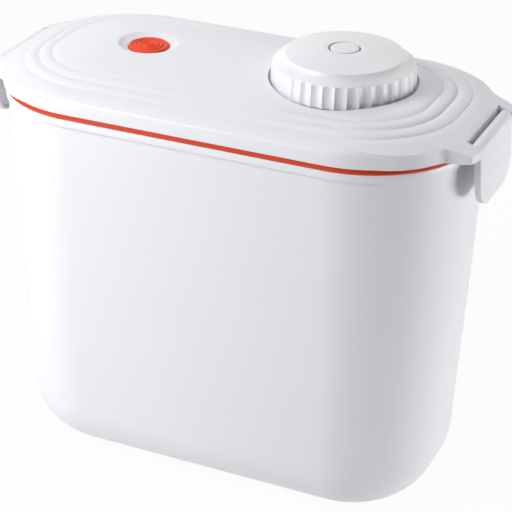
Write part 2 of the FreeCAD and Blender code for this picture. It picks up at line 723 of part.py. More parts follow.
def make_guide_sleeve():
    """Closed sleeve with two straight slots that keep the follower pin from turning."""
    low = barrel_top()
    high = drum_top() - DRUM_GAP
    body = joined([tube(SLEEVE_R, SLEEVE_BORE_R, low, high - SLEEVE_CAP, PUMP),
                   tube(SLEEVE_R, SHOULDER_THREAD_R, high - SLEEVE_CAP, high, PUMP),
                   tube(SLEEVE_FOOT_R, SLEEVE_BORE_R, low, low + SLEEVE_FOOT, PUMP)])
    half = FOLLOWER_R + SLOT_CLEARANCE
    slot = block(PUMP_X - half, PUMP_X + half, -SLEEVE_R - CUTTER_OVERRUN, SLEEVE_R + CUTTER_OVERRUN,
                 follower_low() - half, follower_low() + STROKE + half)
    return body.cut(slot)


def piston_low():
    """Underside of the piston at the bottom of its stroke."""
    return barrel_top() - BARREL_TOP - PISTON_END_GAP - STROKE - PISTON_HEIGHT


def barrel_low():
    """Lower end of the barrel, where its base plate closes it."""
    return piston_low() - PISTON_END_GAP - BASE_SPIGOT - VALVE_FLAP


def make_pump_barrel():
    """Pump cylinder that hangs from the deck by a flange."""
    top = barrel_top()
    bore = BARREL_R - BARREL_WALL
    body = joined([tube(BARREL_R, bore, barrel_low(), top, PUMP), rod(BARREL_R, top - BARREL_TOP, top, PUMP),
                   tube(BARREL_R + BARREL_FLANGE, bore, top - BARREL_TOP, top, PUMP)])
    cuts = [rod(ROD_R + STEM_GAP, top - BARREL_TOP, top, PUMP)]
    cuts += [rod(PORT_R, top - BARREL_TOP, top, place)
             for place in around(PORT_COUNT, ROD_R + 2 * PORT_R, PUMP)]
    cuts += [rod(SCREW_R, top - BARREL_TOP, top, place) for place in barrel_screw_places()]
    return without(body, cuts)


def make_barrel_screws():
    """Four screws through the barrel's flange into the deck's bosses."""
    under = barrel_top() - BARREL_TOP
    return Part.makeCompound([screw(under, place) for place in barrel_screw_places()])


def make_liner_screws():
    """Four screws that hold the liner up to the cover."""
    return Part.makeCompound([screw(LINER_UNDER, place) for place in liner_screw_places()])


def make_piston():
    """Piston disc with a seal groove, a rod and the crosshead that holds the follower pin."""
    low = piston_low()
    high = low + PISTON_HEIGHT
    outer = BARREL_R - BARREL_WALL - PISTON_GAP
    middle = (low + high) / 2
    head_middle = follower_low()
    crosshead = rod(SLEEVE_BORE_R - DRUM_GAP, head_middle - CROSSHEAD_HEIGHT / 2,
                    head_middle + CROSSHEAD_HEIGHT / 2, PUMP)
    body = joined([rod(outer, low, high, PUMP), rod(ROD_R, high, head_middle, PUMP), crosshead])
    groove = tube(outer, outer - PISTON_SEAL_DEPTH, middle - PISTON_SEAL_HEIGHT / 2,
                  middle + PISTON_SEAL_HEIGHT / 2, PUMP)
    pin_hole = Part.makeCylinder(FOLLOWER_R, 2 * SLEEVE_R, PUMP + Vector(0, -SLEEVE_R, head_middle),
                                 Vector(0, 1, 0))
    ports = [rod(PORT_R, low, high, place) for place in around(PORT_COUNT, piston_port_circle(), PUMP)]
    return without(body.cut(groove).cut(pin_hole), ports)


def piston_port_circle():
    """Radius of the ring of air ports through the piston."""
    return ROD_R + FIT_GAP + 2 * PORT_R


def make_piston_seal():
    """Rubber ring in the piston's groove, just short of the barrel's bore."""
    middle = piston_low() + PISTON_HEIGHT / 2
    bore = BARREL_R - BARREL_WALL
    outer = bore - PISTON_SEAL_GAP
    return tube(outer, bore - PISTON_GAP - PISTON_SEAL_DEPTH, middle - PISTON_SEAL_HEIGHT / 2,
                middle + PISTON_SEAL_HEIGHT / 2, PUMP)


def make_follower_pin():
    """Steel cross pin that runs in the sleeve's straight and the drum's helical slots."""
    half = drum_r() - FOLLOWER_END_GAP
    return Part.makeCylinder(FOLLOWER_R, 2 * half, PUMP + Vector(0, -half, follower_low()), Vector(0, 1, 0))


def make_outlet_valve():
    """Rubber ring flap on top of the piston, over its ports."""
    high = piston_low() + PISTON_HEIGHT
    return tube(piston_port_circle() + 2 * PORT_R, ROD_R, high, high + VALVE_FLAP, PUMP)


def make_barrel_base():
    """Plate that closes the barrel, with a spigot in its bore and a ring of inlet ports."""
    top = barrel_low()
    spigot_r = BARREL_R - BARREL_WALL
    body = joined([rod(BARREL_R, top - BASE_PLATE, top, PUMP), rod(spigot_r, top, top + BASE_SPIGOT, PUMP)])
    low = top - BASE_PLATE
    cuts = [rod(VALVE_STEM_R, low, top + BASE_SPIGOT, PUMP)]
    cuts += [rod(PORT_R, low, top + BASE_SPIGOT, place) for place in around(PORT_COUNT, PORT_CIRCLE_R, PUMP)]
    return without(body, cuts)


def make_inlet_valve():
    """Rubber umbrella valve: a flap over the inlet ports on a stem with a bead."""
    seat = barrel_low() + BASE_SPIGOT
    low = barrel_low() - BASE_PLATE
    return joined([rod(VALVE_FLAP_R, seat, seat + VALVE_FLAP, PUMP), rod(VALVE_STEM_R, low, seat, PUMP),
                   rod(VALVE_BEAD_R, low - VALVE_BEAD, low, PUMP)])


def make_dust_filter():
    """Foam disc that keeps crumbs out of the pump."""
    high = barrel_low() - BASE_PLATE
    body = rod(BARREL_R - BARREL_WALL, high - FILTER_THICKNESS, high, PUMP)
    return body.cut(rod(VALVE_BEAD_R + FIT_GAP, high - FILTER_THICKNESS, high, PUMP))


def make_filter_cover():
    """Perforated cup that holds the filter and laps over the barrel's base."""
    high = barrel_low() - BASE_PLATE + FILTER_COVER_LAP
    floor = barrel_low() - BASE_PLATE - FILTER_THICKNESS
    inner = BARREL_R
    outer = inner + FILTER_COVER_WALL
    body = rod(outer, floor - FILTER_COVER_WALL, high, PUMP).cut(rod(inner, floor, high, PUMP))
    holes = []
    for ring, count in enumerate(FILTER_HOLE_COUNTS):
        for place in around(count, ring * FILTER_HOLE_PITCH, PUMP):
            holes.append(rod(FILTER_HOLE_R, floor - FILTER_COVER_WALL, floor, place))
    return without(body, holes)


def button_top():
    """Rim height of the press button in its dish."""
    return DECK - BUTTON_SET_DOWN - BUTTON_CROWN


def make_release_button():
    """Domed press button with ripple rings, hollow below, with a socket for the stem."""
    top = button_top()
    low = top - BUTTON_SKIRT
    rim = Vector(BUTTON_R, 0, top)
    crown = Vector(0, 0, top + BUTTON_CROWN)
    foot = Vector(BUTTON_R, 0, low)
    edges = [Part.makeLine(Vector(0, 0, low), foot), Part.makeLine(foot, rim),
             dome_arc(BUTTON_R, top, BUTTON_CROWN), Part.makeLine(crown, Vector(0, 0, low))]
    body = Part.Face(Part.Wire(edges)).revolve(Vector(0, 0, 0), Vector(0, 0, 1), 360)
    for radius in RIPPLE_RADII:
        height = top + BUTTON_CROWN * (1 - (radius / BUTTON_R) ** 2)
        body = body.cut(Part.makeTorus(radius, RIPPLE_R, Vector(0, 0, height + RIPPLE_LIFT)))
    body.translate(VALVE)
    hollow = tube(BUTTON_R - BUTTON_WALL, STEM_SPIGOT_R, low, top - BUTTON_WALL, VALVE)
    return body.cut(hollow).cut(rod(STEM_R, low, top - BUTTON_WALL, VALVE))


def bush_floor():
    """Top of the bush's floor, which the spring stands on."""
    return LINER_TOP + BUSH_WALL


def make_valve_bush():
    """Cup between deck and liner that guides the stem, holds the spring and stops the button."""
    low = LINER_TOP
    high = DECK_UNDER
    stop = button_top() - BUTTON_SKIRT - BUTTON_TRAVEL - FIT_GAP
    body = joined([tube(BUSH_R, BUSH_R - BUSH_WALL, low, high, VALVE), rod(BUSH_R, low, bush_floor(), VALVE),
                   tube(BUSH_R - BUSH_WALL / 2, BUTTON_R - BUTTON_WALL, low, stop, VALVE),
                   tube(BUSH_FLANGE_R, BUSH_R - BUSH_WALL, high - BUSH_FLANGE, high, VALVE)])
    return body.cut(rod(STEM_R + STEM_GAP, low, bush_floor(), VALVE)).cut(air_slots())


def air_slots():
    """Cuts that let air pass through the bush's floor."""
    return Part.makeCompound([rod(PORT_R, LINER_TOP, bush_floor(), place)
                              for place in around(4, AIRWAY_R - PORT_R / 2 + PORT_R, VALVE, 45.0)])


def pad_top():
    """Sealing face of the valve pad, just below the liner."""
    return LINER_UNDER - FIT_GAP


def make_valve_stem():
    """Stem from the button down to a foot that carries the valve pad."""
    foot_top = pad_top() - VALVE_PAD
    return joined([rod(STEM_R, foot_top, button_top() - BUTTON_WALL, VALVE),
                   rod(STEM_FOOT_R, foot_top - STEM_FOOT, foot_top, VALVE)])


def make_valve_pad():
    """Rubber disc that closes the liner's airway from below."""
    return tube(VALVE_PAD_R, STEM_R, pad_top() - VALVE_PAD, pad_top(), VALVE)


def make_valve_spring():
    """Coil spring that lifts the button."""
    low = bush_floor() + SPRING_WIRE_R
    high = button_top() - BUTTON_WALL - SPRING_WIRE_R
    pitch = (high - low) / SPRING_TURNS
    helix = Part.makeHelix(pitch, high - low, SPRING_R)
    ring = Part.Wire([Part.Circle(Vector(SPRING_R, 0, 0), Vector(0, 1, 0), SPRING_WIRE_R).toShape()])
    coil = Part.Wire(helix.Edges).makePipeShell([ring], True, True)
    coil.translate(VALVE + Vector(0, 0, low))
    return coil


def main():
    latch = make_latch()
    pin = make_hinge_pin()
    nodes = {
        "tub": make_tub(),
        "rim_seal": make_rim_seal(),
        "lid_cover": make_lid_cover(),
        "lid_liner": make_lid_liner(),
        "liner_screws": make_liner_screws(),
        "latch_right": latch,
        "latch_left": mirrored_x(latch),
        "hinge_pin_right": pin,
        "hinge_pin_left": mirrored_x(pin),
        "knob_grip": make_knob_grip(),
        "knob_cap": make_knob_cap(),
        "cam_drum": make_cam_drum(),
        "knob_screws": make_knob_screws(),
        "shoulder_screw": make_shoulder_screw(),
        "guide_sleeve": make_guide_sleeve(),
        "pump_barrel": make_pump_barrel(),
        "barrel_screws": make_barrel_screws(),
        "piston": make_piston(),
        "piston_seal": make_piston_seal(),
        "follower_pin": make_follower_pin(),
        "outlet_valve": make_outlet_valve(),
        "barrel_base": make_barrel_base(),
        "inlet_valve": make_inlet_valve(),
        "dust_filter": make_dust_filter(),
        "filter_cover": make_filter_cover(),
        "release_button": make_release_button(),
        "valve_stem": make_valve_stem(),
        "valve_spring": make_valve_spring(),
        "valve_bush": make_valve_bush(),
        "valve_pad": make_valve_pad(),
    }
    for name, shape in nodes.items():
        shape.exportStep("parts/" + name + ".step")
        box = shape.BoundBox
        print(name, len(shape.Solids), "solids", round(shape.Volume), "mm3", shape.isValid(),
              "z", round(box.ZMin, 1), round(box.ZMax, 1))


main()
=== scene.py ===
# %% [markdown]
# # A vacuum food canister
# The canister stands on a table: a tall white tub, a terraced lid with a twist pump, an orange seal and a
# latch at each end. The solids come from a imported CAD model, so every place below is in the same frame:
# the base is on z = 0, the pump knob is towards +X and the long front faces -Y.

# %% Load the frame
import math

import bpy
from mathutils import Matrix, Vector


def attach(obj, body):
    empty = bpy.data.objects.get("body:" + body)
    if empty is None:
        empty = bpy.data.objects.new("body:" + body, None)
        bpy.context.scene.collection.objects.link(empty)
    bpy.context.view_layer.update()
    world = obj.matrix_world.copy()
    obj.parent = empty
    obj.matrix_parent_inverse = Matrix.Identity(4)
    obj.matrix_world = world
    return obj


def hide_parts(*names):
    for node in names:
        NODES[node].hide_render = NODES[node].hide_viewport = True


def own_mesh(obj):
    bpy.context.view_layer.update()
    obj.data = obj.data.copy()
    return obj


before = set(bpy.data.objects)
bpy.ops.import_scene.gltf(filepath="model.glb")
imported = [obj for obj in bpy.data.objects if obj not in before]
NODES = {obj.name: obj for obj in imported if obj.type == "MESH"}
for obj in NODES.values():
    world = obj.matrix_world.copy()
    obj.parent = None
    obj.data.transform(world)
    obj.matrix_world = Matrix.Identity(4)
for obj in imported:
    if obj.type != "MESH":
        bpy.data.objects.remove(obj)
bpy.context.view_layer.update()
print("nodes:", len(NODES))

# %% [markdown]
# ## Camera
# The photograph was taken with a long lens from a little to the right and above. The camera is set by its
# turn round the object, its height angle, its distance and the picture's middle.

# %% Camera
PICTURE = 512
SENSOR_MM = 36.0
FOCAL_PX = 1899.4
PICTURE_MIDDLE = (184.6, 254.4)
AZIMUTH = math.radians(25.75)
ELEVATION = math.radians(27.37)
CAMERA_DISTANCE = 1.2191
CAMERA_TARGET = Vector((-0.0396, 0.0, 0.1291))

camera_back = Vector((math.sin(AZIMUTH) * math.cos(ELEVATION),
                      -math.cos(AZIMUTH) * math.cos(ELEVATION),
                      math.sin(ELEVATION)))
camera_right = Vector((math.cos(AZIMUTH), math.sin(AZIMUTH), 0.0))
camera_up = camera_back.cross(camera_right)
camera_data = bpy.data.cameras.new("camera")
camera_data.sensor_width = SENSOR_MM
camera_data.lens = FOCAL_PX / PICTURE * SENSOR_MM
camera_data.shift_x = (PICTURE / 2 - PICTURE_MIDDLE[0]) / PICTURE
camera_data.shift_y = (PICTURE_MIDDLE[1] - PICTURE / 2) / PICTURE
camera = bpy.data.objects.new("camera", camera_data)
bpy.context.scene.collection.objects.link(camera)
axes = Matrix((camera_right, camera_up, camera_back)).transposed().to_4x4()
camera.matrix_world = Matrix.Translation(CAMERA_TARGET + camera_back * CAMERA_DISTANCE) @ axes
bpy.context.scene.camera = camera
bpy.context.scene.view_settings.view_transform = "Standard"
print("lens in mm:", round(camera_data.lens, 1))

# %% [markdown]
# ## Shader maths
# Every finish here is made of nodes. A small class wraps one socket, so that sums and products can be
# written as plain expressions, and its one method `node` adds any other node with its settings and links.

# %% Shader maths
class Wire:
    """One output socket of a material's node tree."""

    def __init__(self, tree, socket):
        self.tree = tree
        self.socket = socket

    def node(self, kind, settings, inputs, output=0):
        """Adds a node, with its settings first and then the values or links of its sockets."""
        made = self.tree.nodes.new(kind)
        for name, value in settings.items():
            setattr(made, name, value)
        for name, value in inputs.items():
            if isinstance(value, Wire):
                self.tree.links.new(value.socket, made.inputs[name])
            else:
                made.inputs[name].default_value = value
        return Wire(self.tree, made.outputs[output])

    def math(self, operation, first, second):
        return self.node("ShaderNodeMath", {"operation": operation}, {0: first, 1: second})

    def __add__(self, other):
        return self.math("ADD", self, other)

    __radd__ = __add__

    def __mul__(self, other):
        return self.math("MULTIPLY", self, other)

    __rmul__ = __mul__

    def __sub__(self, other):
        return self.math("SUBTRACT", self, other)

    def __rsub__(self, other):
        return self.math("SUBTRACT", other, self)


def new_finish(name):
    """Material with a Principled shader; gives it, its shader and its Object coordinates."""
    material = bpy.data.materials.new(name + "_finish")
    material.use_nodes = True
    shader = material.node_tree.nodes["Principled BSDF"]
    place = material.node_tree.nodes.new("ShaderNodeTexCoord")
    return material, shader, Wire(material.node_tree, place.outputs["Object"])


# %% [markdown]
# ## Moulded plastic, silicone and metal
# Injection-moulded plastic isn't one flat colour: the melt leaves faint clouds, and the mould's
# spark-eroded skin leaves a grain finer than a millimetre that makes the gloss satin. So a large noise
# moves the colour a little, a middle one moves the roughness, and a fine one drives a shallow bump.

# %% Moulded finish
def moulded_finish(name, colour, cloud, roughness, roughness_swing, grain, grain_depth, settings):
    """Plastic, rubber or metal: clouds of colour, uneven gloss and a fine skin grain."""
    material, shader, place = new_finish(name)
    clouds = place.node("ShaderNodeTexNoise", {}, {"Vector": place, "Scale": 14.0, "Detail": 3.0})
    darker = [channel * (1 - cloud) for channel in colour]
    # A colour Mix has its factor at input 0, its two colours at 6 and 7, and its result at output 2.
    tint = place.node("ShaderNodeMix", {"data_type": "RGBA"},
                      {0: clouds, 6: (*colour, 1.0), 7: (*darker, 1.0)}, 2)
    place.tree.links.new(tint.socket, shader.inputs["Base Color"])
    handling = place.node("ShaderNodeTexNoise", {}, {"Vector": place, "Scale": 55.0, "Detail": 4.0})
    gloss = roughness + (handling - 0.5) * roughness_swing
    place.tree.links.new(gloss.socket, shader.inputs["Roughness"])
    skin = place.node("ShaderNodeTexNoise", {}, {"Vector": place, "Scale": grain, "Detail": 2.0})
    bump = place.node("ShaderNodeBump", {}, {"Height": skin, "Strength": 0.25, "Distance": grain_depth})
    place.tree.links.new(bump.socket, shader.inputs["Normal"])
    for socket, value in settings.items():
        shader.inputs[socket].default_value = value
    return material


# %% [markdown]
# ## The finishes themselves
# The white shells are nearly alike: the knob is a touch whiter and more polished than the lid. Silicone
# has a weaker reflection than hard plastic. The steel of the screws and the spring uses the same recipe
# with Metallic turned up, because drawn wire has the same kind of uneven gloss.

# %% Finishes
SATIN = {"IOR": 1.49, "Specular IOR Level": 0.5}
SOFT = {"IOR": 1.41, "Specular IOR Level": 0.3}
STEEL = {"Metallic": 1.0}
tub_white = moulded_finish("tub_white", (0.80, 0.807, 0.838), cloud=0.02, roughness=0.40,
                           roughness_swing=0.06, grain=1800.0, grain_depth=0.00006, settings=SATIN)
lid_white = moulded_finish("lid_white", (0.80, 0.807, 0.838), cloud=0.02, roughness=0.44,
                           roughness_swing=0.06, grain=1500.0, grain_depth=0.00008, settings=SATIN)
knob_white = moulded_finish("knob_white", (0.82, 0.827, 0.852), cloud=0.015, roughness=0.36,
                            roughness_swing=0.05, grain=1900.0, grain_depth=0.00005, settings=SATIN)
pump_white = moulded_finish("pump_white", (0.74, 0.745, 0.75), cloud=0.03, roughness=0.48,
                            roughness_swing=0.08, grain=1500.0, grain_depth=0.00008, settings=SATIN)
pump_grey = moulded_finish("pump_grey", (0.30, 0.31, 0.32), cloud=0.06, roughness=0.50,
                           roughness_swing=0.10, grain=1500.0, grain_depth=0.00008, settings=SATIN)
silicone_orange = moulded_finish("silicone_orange", (0.66, 0.055, 0.015), cloud=0.10, roughness=0.55,
                                 roughness_swing=0.10, grain=1200.0, grain_depth=0.00008, settings=SOFT)
button_orange = moulded_finish("button_orange", (0.82, 0.075, 0.02), cloud=0.06, roughness=0.45,
                               roughness_swing=0.08, grain=1600.0, grain_depth=0.00005, settings=SOFT)
rubber_black = moulded_finish("rubber_black", (0.025, 0.025, 0.027), cloud=0.25, roughness=0.62,
                              roughness_swing=0.12, grain=1200.0, grain_depth=0.0001, settings=SATIN)
filter_foam = moulded_finish("filter_foam", (0.16, 0.16, 0.165), cloud=0.35, roughness=0.9,
                             roughness_swing=0.1, grain=700.0, grain_depth=0.0006, settings=SATIN)
steel = moulded_finish("steel", (0.56, 0.57, 0.58), cloud=0.08, roughness=0.30,
                       roughness_swing=0.16, grain=2500.0, grain_depth=0.00003, settings=STEEL)
spring_steel = moulded_finish("spring_steel", (0.48, 0.49, 0.50), cloud=0.12, roughness=0.34,
                              roughness_swing=0.18, grain=2500.0, grain_depth=0.00004, settings=STEEL)
print("finishes:", len([m for m in bpy.data.materials if m.use_nodes]))

# %% [markdown]
# ## Drawing a section
# Most pieces here start as a line: a section, drawn as a chain of extruded vertices. Sizes are given in
# millimetres, as on a drawing, and turned into metres where an operator is called. Operators act on all
# that is selected, so one helper picks an object, and another picks vertices by where they are.

# %% Drawing a section
MM = 0.001


def only(piece):
    """Makes one object the selected and active one."""
    bpy.ops.object.select_all(action="DESELECT")
    piece.select_set(True)
    bpy.context.view_layer.objects.active = piece


def select_where(test):
    """Selects the vertices of the piece in edit mode whose place, in mm, passes a test."""
    bpy.ops.mesh.select_all(action="DESELECT")
    bpy.ops.object.mode_set(mode="OBJECT")
    piece = bpy.context.active_object
    corner = piece.location
    for vertex in piece.data.vertices:
        vertex.select = test(*((vertex.co + corner) / MM))
    bpy.ops.object.mode_set(mode="EDIT")


def draw_chain(name, points):
    """Chain of edges through points given in mm; left in edit mode with all of it selected."""
    bpy.ops.object.select_all(action="DESELECT")
    bpy.ops.mesh.primitive_plane_add(size=MM, location=Vector(points[0]) * MM)
    piece = bpy.context.active_object
    piece.name = name
    piece.data.name = name
    bpy.ops.object.mode_set(mode="EDIT")
    bpy.ops.mesh.select_mode(type="VERT")
    bpy.ops.mesh.select_all(action="SELECT")
    bpy.ops.mesh.merge(type="CENTER")
    for here, there in zip(points, points[1:]):
        step = (Vector(there) - Vector(here)) * MM
        bpy.ops.mesh.extrude_vertices_move(TRANSFORM_OT_translate={"value": step})
    bpy.ops.mesh.select_all(action="SELECT")
    return piece


def pull(x, y, z):
    """Extrudes what is selected by a way in mm."""
    bpy.ops.mesh.extrude_region_move(TRANSFORM_OT_translate={"value": Vector((x, y, z)) * MM})


# %% [markdown]
# ## Sweeping a section round the rim
# The tub, the lid and the seal are all one section carried round the same rounded rectangle. By hand this
# is a chain that is pulled along half of the end's flat, spun through the corner and pulled along half of
# the long side. That makes a quarter, and two mirrors make the rest.

# %% Sweep
RIM_LENGTH = 300.0
RIM_WIDTH = 155.0
END_FLAT = 19.0
CORNER_R = (RIM_WIDTH - END_FLAT) / 2
CORNER_X = RIM_LENGTH / 2 - CORNER_R
CORNER_STEPS = 32
NEAR = 0.01
FINE_MERGE = 0.002
QUARTER_MERGE = 0.005


def sweep_corner(name, section):
    """Section of (inset, height) points along half of the end's flat and round the corner."""
    piece = draw_chain(name, [(RIM_LENGTH / 2 - inset, 0.0, z) for inset, z in section])
    pull(0, END_FLAT / 2, 0)
    bpy.ops.mesh.spin(steps=CORNER_STEPS, angle=-math.pi / 2, axis=(0, 0, 1),
                      center=Vector((CORNER_X, END_FLAT / 2, 0)) * MM)
    bpy.ops.mesh.select_all(action="SELECT")
    bpy.ops.mesh.remove_doubles(threshold=FINE_MERGE * MM)
    select_where(lambda x, y, z: abs(x - CORNER_X) < NEAR and y > END_FLAT / 2 - NEAR)
    return piece


def close_quarters(piece):
    """Mirrors a quarter to a whole, merges it and turns its faces outwards."""
    bpy.ops.object.mode_set(mode="OBJECT")
    only(piece)
    bpy.ops.object.transform_apply(location=True, rotation=True, scale=True)
    mirror = piece.modifiers.new("quarters", "MIRROR")
    mirror.use_axis = (True, True, False)
    mirror.merge_threshold = NEAR * MM
    bpy.ops.object.modifier_apply(modifier="quarters")
    bpy.ops.object.mode_set(mode="EDIT")
    bpy.ops.mesh.select_all(action="SELECT")
    bpy.ops.mesh.remove_doubles(threshold=QUARTER_MERGE * MM)
    bpy.ops.mesh.fill_holes(sides=0)
    bpy.ops.mesh.select_all(action="SELECT")
    bpy.ops.mesh.normals_make_consistent(inside=False)
    bpy.ops.object.mode_set(mode="OBJECT")


print("rim corners:", CORNER_R, "mm round a centre at x", CORNER_X)

# %% [markdown]
# ## Settling a finished piece
# When a piece is done, its place is applied to its mesh, so the object itself sits at the origin. It is
# shaded smooth except at real creases, gets its finish, is hung on the body it moves with, and the CAD
# nodes that it takes the place of are hidden.

# %% Settle
def settle(piece, body, finish, nodes, crease_deg=25.0):
    """Bakes the piece's place into its mesh, shades it, gives it its finish and hides the CAD nodes it
    stands in for.
    """
    only(piece)
    bpy.ops.object.transform_apply(location=True, rotation=True, scale=True)
    bpy.ops.object.shade_smooth_by_angle(angle=math.radians(crease_deg))
    piece.data.materials.clear()
    piece.data.materials.append(finish)
    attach(piece, body)
    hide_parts(*nodes)
    low = [round(min(v.co[axis] for v in piece.data.vertices) / MM, 1) for axis in range(3)]
    high = [round(max(v.co[axis] for v in piece.data.vertices) / MM, 1) for axis in range(3)]
    print(piece.name, "faces", len(piece.data.polygons), "from", low, "to", high)


# %% [markdown]
# ## Arcs
# A section is mostly arcs. A fillet is a piece of a circle between two angles, and a terrace is an arc
# between two points that ends at a wanted slope. Both give plain lists of points for the chain.

# %% Arcs
def fillet(centre, radius, start_deg, end_deg, count):
    """Points on a circle in the (inset, height) plane, ends included."""
    points = []
    for index in range(count + 1):
        angle = math.radians(start_deg + (end_deg - start_deg) * index / count)
        points.append((centre[0] + radius * math.cos(angle), centre[1] + radius * math.sin(angle)))
    return points


def rising_arc(start, end, slope, count):
    """Points after start on an arc that climbs inwards and reaches end at a slope in radians."""
    back_x = start[0] - end[0]
    back_z = start[1] - end[1]
    radius = (back_x ** 2 + back_z ** 2) / (2 * (back_x * math.sin(slope) - back_z * math.cos(slope)))
    centre = (end[0] + radius * math.sin(slope), end[1] - radius * math.cos(slope))
    first = math.degrees(math.atan2(start[1] - centre[1], start[0] - centre[0]))
    last = math.degrees(math.atan2(end[1] - centre[1], end[0] - centre[0]))
    return fillet(centre, radius, first, last, count)[1:]


# %% [markdown]
# ## Tub
# The tub is drawn from the middle of its base outwards: a foot ring, a wide soft base edge, a drafted
# wall, the band under the rim, and back down the inside. The finger pocket at each end is a few rows of
# vertices pushed in under the band, deeper the higher they are, so it fades out downwards as the real one
# does.

# %% Tub section
TUB_HEIGHT = 245.0
TUB_DRAFT = 11.5
TUB_WALL = 3.2
TUB_FLOOR = 3.6
BASE_EDGE_R = 41.0
BASE_EDGE_STEPS = 18
BAND_PROUD = 1.0
BAND_LOW = 240.0
FOOT_INSET = 59.5
FOOT_RELIEF = 1.5
POCKET_LOW = 212.0
POCKET_DEPTH = 1.8
POCKET_HALF_WIDTH = 28.5
POCKET_FROM_X = 140.0
POCKET_ROWS = 8
PLAIN_ROWS = [POCKET_LOW - 60, POCKET_LOW - 8]
DRAFT_DEG = math.degrees(math.atan(TUB_DRAFT / TUB_HEIGHT))


def wall_inset(z):
    """Inset of the tub's outer wall at a height."""
    return BAND_PROUD + TUB_DRAFT * (1 - z / TUB_HEIGHT)


def base_centre(radius, low, extra):
    """Centre of the base edge's arc, tangent to the floor and to the drafted wall."""
    height = low + radius
    return (wall_inset(height) + extra + radius / math.cos(math.radians(DRAFT_DEG)), height)


outer_centre = base_centre(BASE_EDGE_R, 0.0, 0.0)
inner_centre = base_centre(BASE_EDGE_R - TUB_WALL, TUB_FLOOR, TUB_WALL)
pocket_heights = []
for row in range(POCKET_ROWS + 1):
    pocket_heights.append(POCKET_LOW + (BAND_LOW - POCKET_LOW) * row / POCKET_ROWS)
tub_section = [(CORNER_R, FOOT_RELIEF), (FOOT_INSET, FOOT_RELIEF)]
tub_section += [(FOOT_INSET - 0.3, 0.3), (FOOT_INSET - 0.8, 0.0)]
tub_section += fillet(outer_centre, BASE_EDGE_R, 270, 180 + DRAFT_DEG, BASE_EDGE_STEPS)
tub_section += [(wall_inset(z), z) for z in PLAIN_ROWS + pocket_heights]
tub_section += [(0.35, BAND_LOW), (0.1, BAND_LOW + 0.15), (0.0, BAND_LOW + 0.5)]
tub_section += [(0.0, TUB_HEIGHT - 0.5), (0.15, TUB_HEIGHT - 0.15), (0.5, TUB_HEIGHT)]
tub_section += [(wall_inset(TUB_HEIGHT) + TUB_WALL, TUB_HEIGHT)]
tub_section += fillet(inner_centre, BASE_EDGE_R - TUB_WALL, 180 + DRAFT_DEG, 270, BASE_EDGE_STEPS)
tub_section += [(CORNER_R, TUB_FLOOR)]
print("tub section points:", len(tub_section))

# %% Tub
tub = sweep_corner("tub_shell", tub_section)
pull(-CORNER_X, 0, 0)
for height in pocket_heights[1:]:
    depth = POCKET_DEPTH * (height - POCKET_LOW) / (BAND_LOW - POCKET_LOW)
    select_where(lambda x, y, z: abs(z - height) < NEAR and x > POCKET_FROM_X and y < POCKET_HALF_WIDTH)
    bpy.ops.transform.translate(value=(-depth * MM, 0, 0))
close_quarters(tub)
settle(tub, "tub", tub_white, ["tub"])

# %% [markdown]
# ## Rim seal
# The orange silicone seal is squeezed between lid and tub. Only its edge shows: a bead that bulges at the
# bottom and draws back under the lid's skirt, so its upper half lies in shade. A lip hangs inside the
# mouth.

# %% Rim seal
SEAL_LOW = 245.1
SEAL_TOP = 248.0
SEAL_INNER = 7.5
LIP_OUTER = 4.9
LIP_LOW = 238.4
LIP_SOFT = 0.4
SEAL_ROOM = 0.02
BEAD = [(0.7, 0.0), (0.3, 0.08), (0.1, 0.35), (0.1, 0.95), (0.3, 1.3), (0.75, 1.5), (0.95, 1.8)]
seal_section = [(inset, SEAL_LOW + rise) for inset, rise in BEAD]
seal_section += [(BEAD[-1][0], SEAL_TOP - SEAL_ROOM), (SEAL_INNER, SEAL_TOP - SEAL_ROOM)]
seal_section += [(SEAL_INNER, LIP_LOW + LIP_SOFT), (SEAL_INNER - LIP_SOFT, LIP_LOW)]
seal_section += [(LIP_OUTER + LIP_SOFT, LIP_LOW), (LIP_OUTER, LIP_LOW + LIP_SOFT), (LIP_OUTER, SEAL_LOW)]
seal_section += [seal_section[0]]
seal = sweep_corner("rim_seal_bead", seal_section)
pull(-CORNER_X, 0, 0)
close_quarters(seal)
settle(seal, "lid", silicone_orange, ["rim_seal"], crease_deg=50.0)

# %% [markdown]
# ## Lid shell
# The lid climbs from its skirt over a sloped flange and three soft terraces to a crowned deck. Each
# terrace starts steep at its crease and ends tipped down a little into the next one. Round the ends the
# creases are clear, and along the long sides they fade, so a second, smoother section is drawn there and
# the two are bridged.

# %% Flange
FIRST_CREASE = 261.2
TERRACE_INSETS = (12.2, 20.9, 29.2)
SHOULDER_IN = 1.2
FLANGE_DROP = 3.9
END_CREASE_DEG = 5.0
SIDE_CREASE_DEG = 11.0
FLANGE_STEPS = 8
SHOULDER_STEPS = 10


def flange_fall(crease_deg):
    """Slope of the flange at the crease, and how fast it steepens on its way out to the shoulder."""
    run = TERRACE_INSETS[0] - SHOULDER_IN
    fall = math.tan(math.radians(crease_deg))
    return fall, (FLANGE_DROP - fall * run) / run ** 2


def flange(crease_deg):
    """Points from the skirt over the soft shoulder and up the flange to the first crease."""
    run = TERRACE_INSETS[0] - SHOULDER_IN
    fall, bend = flange_fall(crease_deg)
    edge = math.atan(fall + 2 * bend * run)
    radius = SHOULDER_IN / (1 - math.sin(edge))
    centre = (radius, FIRST_CREASE - FLANGE_DROP - radius * math.cos(edge))
    points = fillet(centre, radius, 180, 90 + math.degrees(edge), SHOULDER_STEPS)
    for step in range(1, FLANGE_STEPS + 1):
        out = run * (1 - step / FLANGE_STEPS)
        points.append((TERRACE_INSETS[0] - out, FIRST_CREASE - fall * out - bend * out ** 2))
    return points


end_flange = flange(END_CREASE_DEG)
side_flange = flange(SIDE_CREASE_DEG)
print("flange points:", len(end_flange))

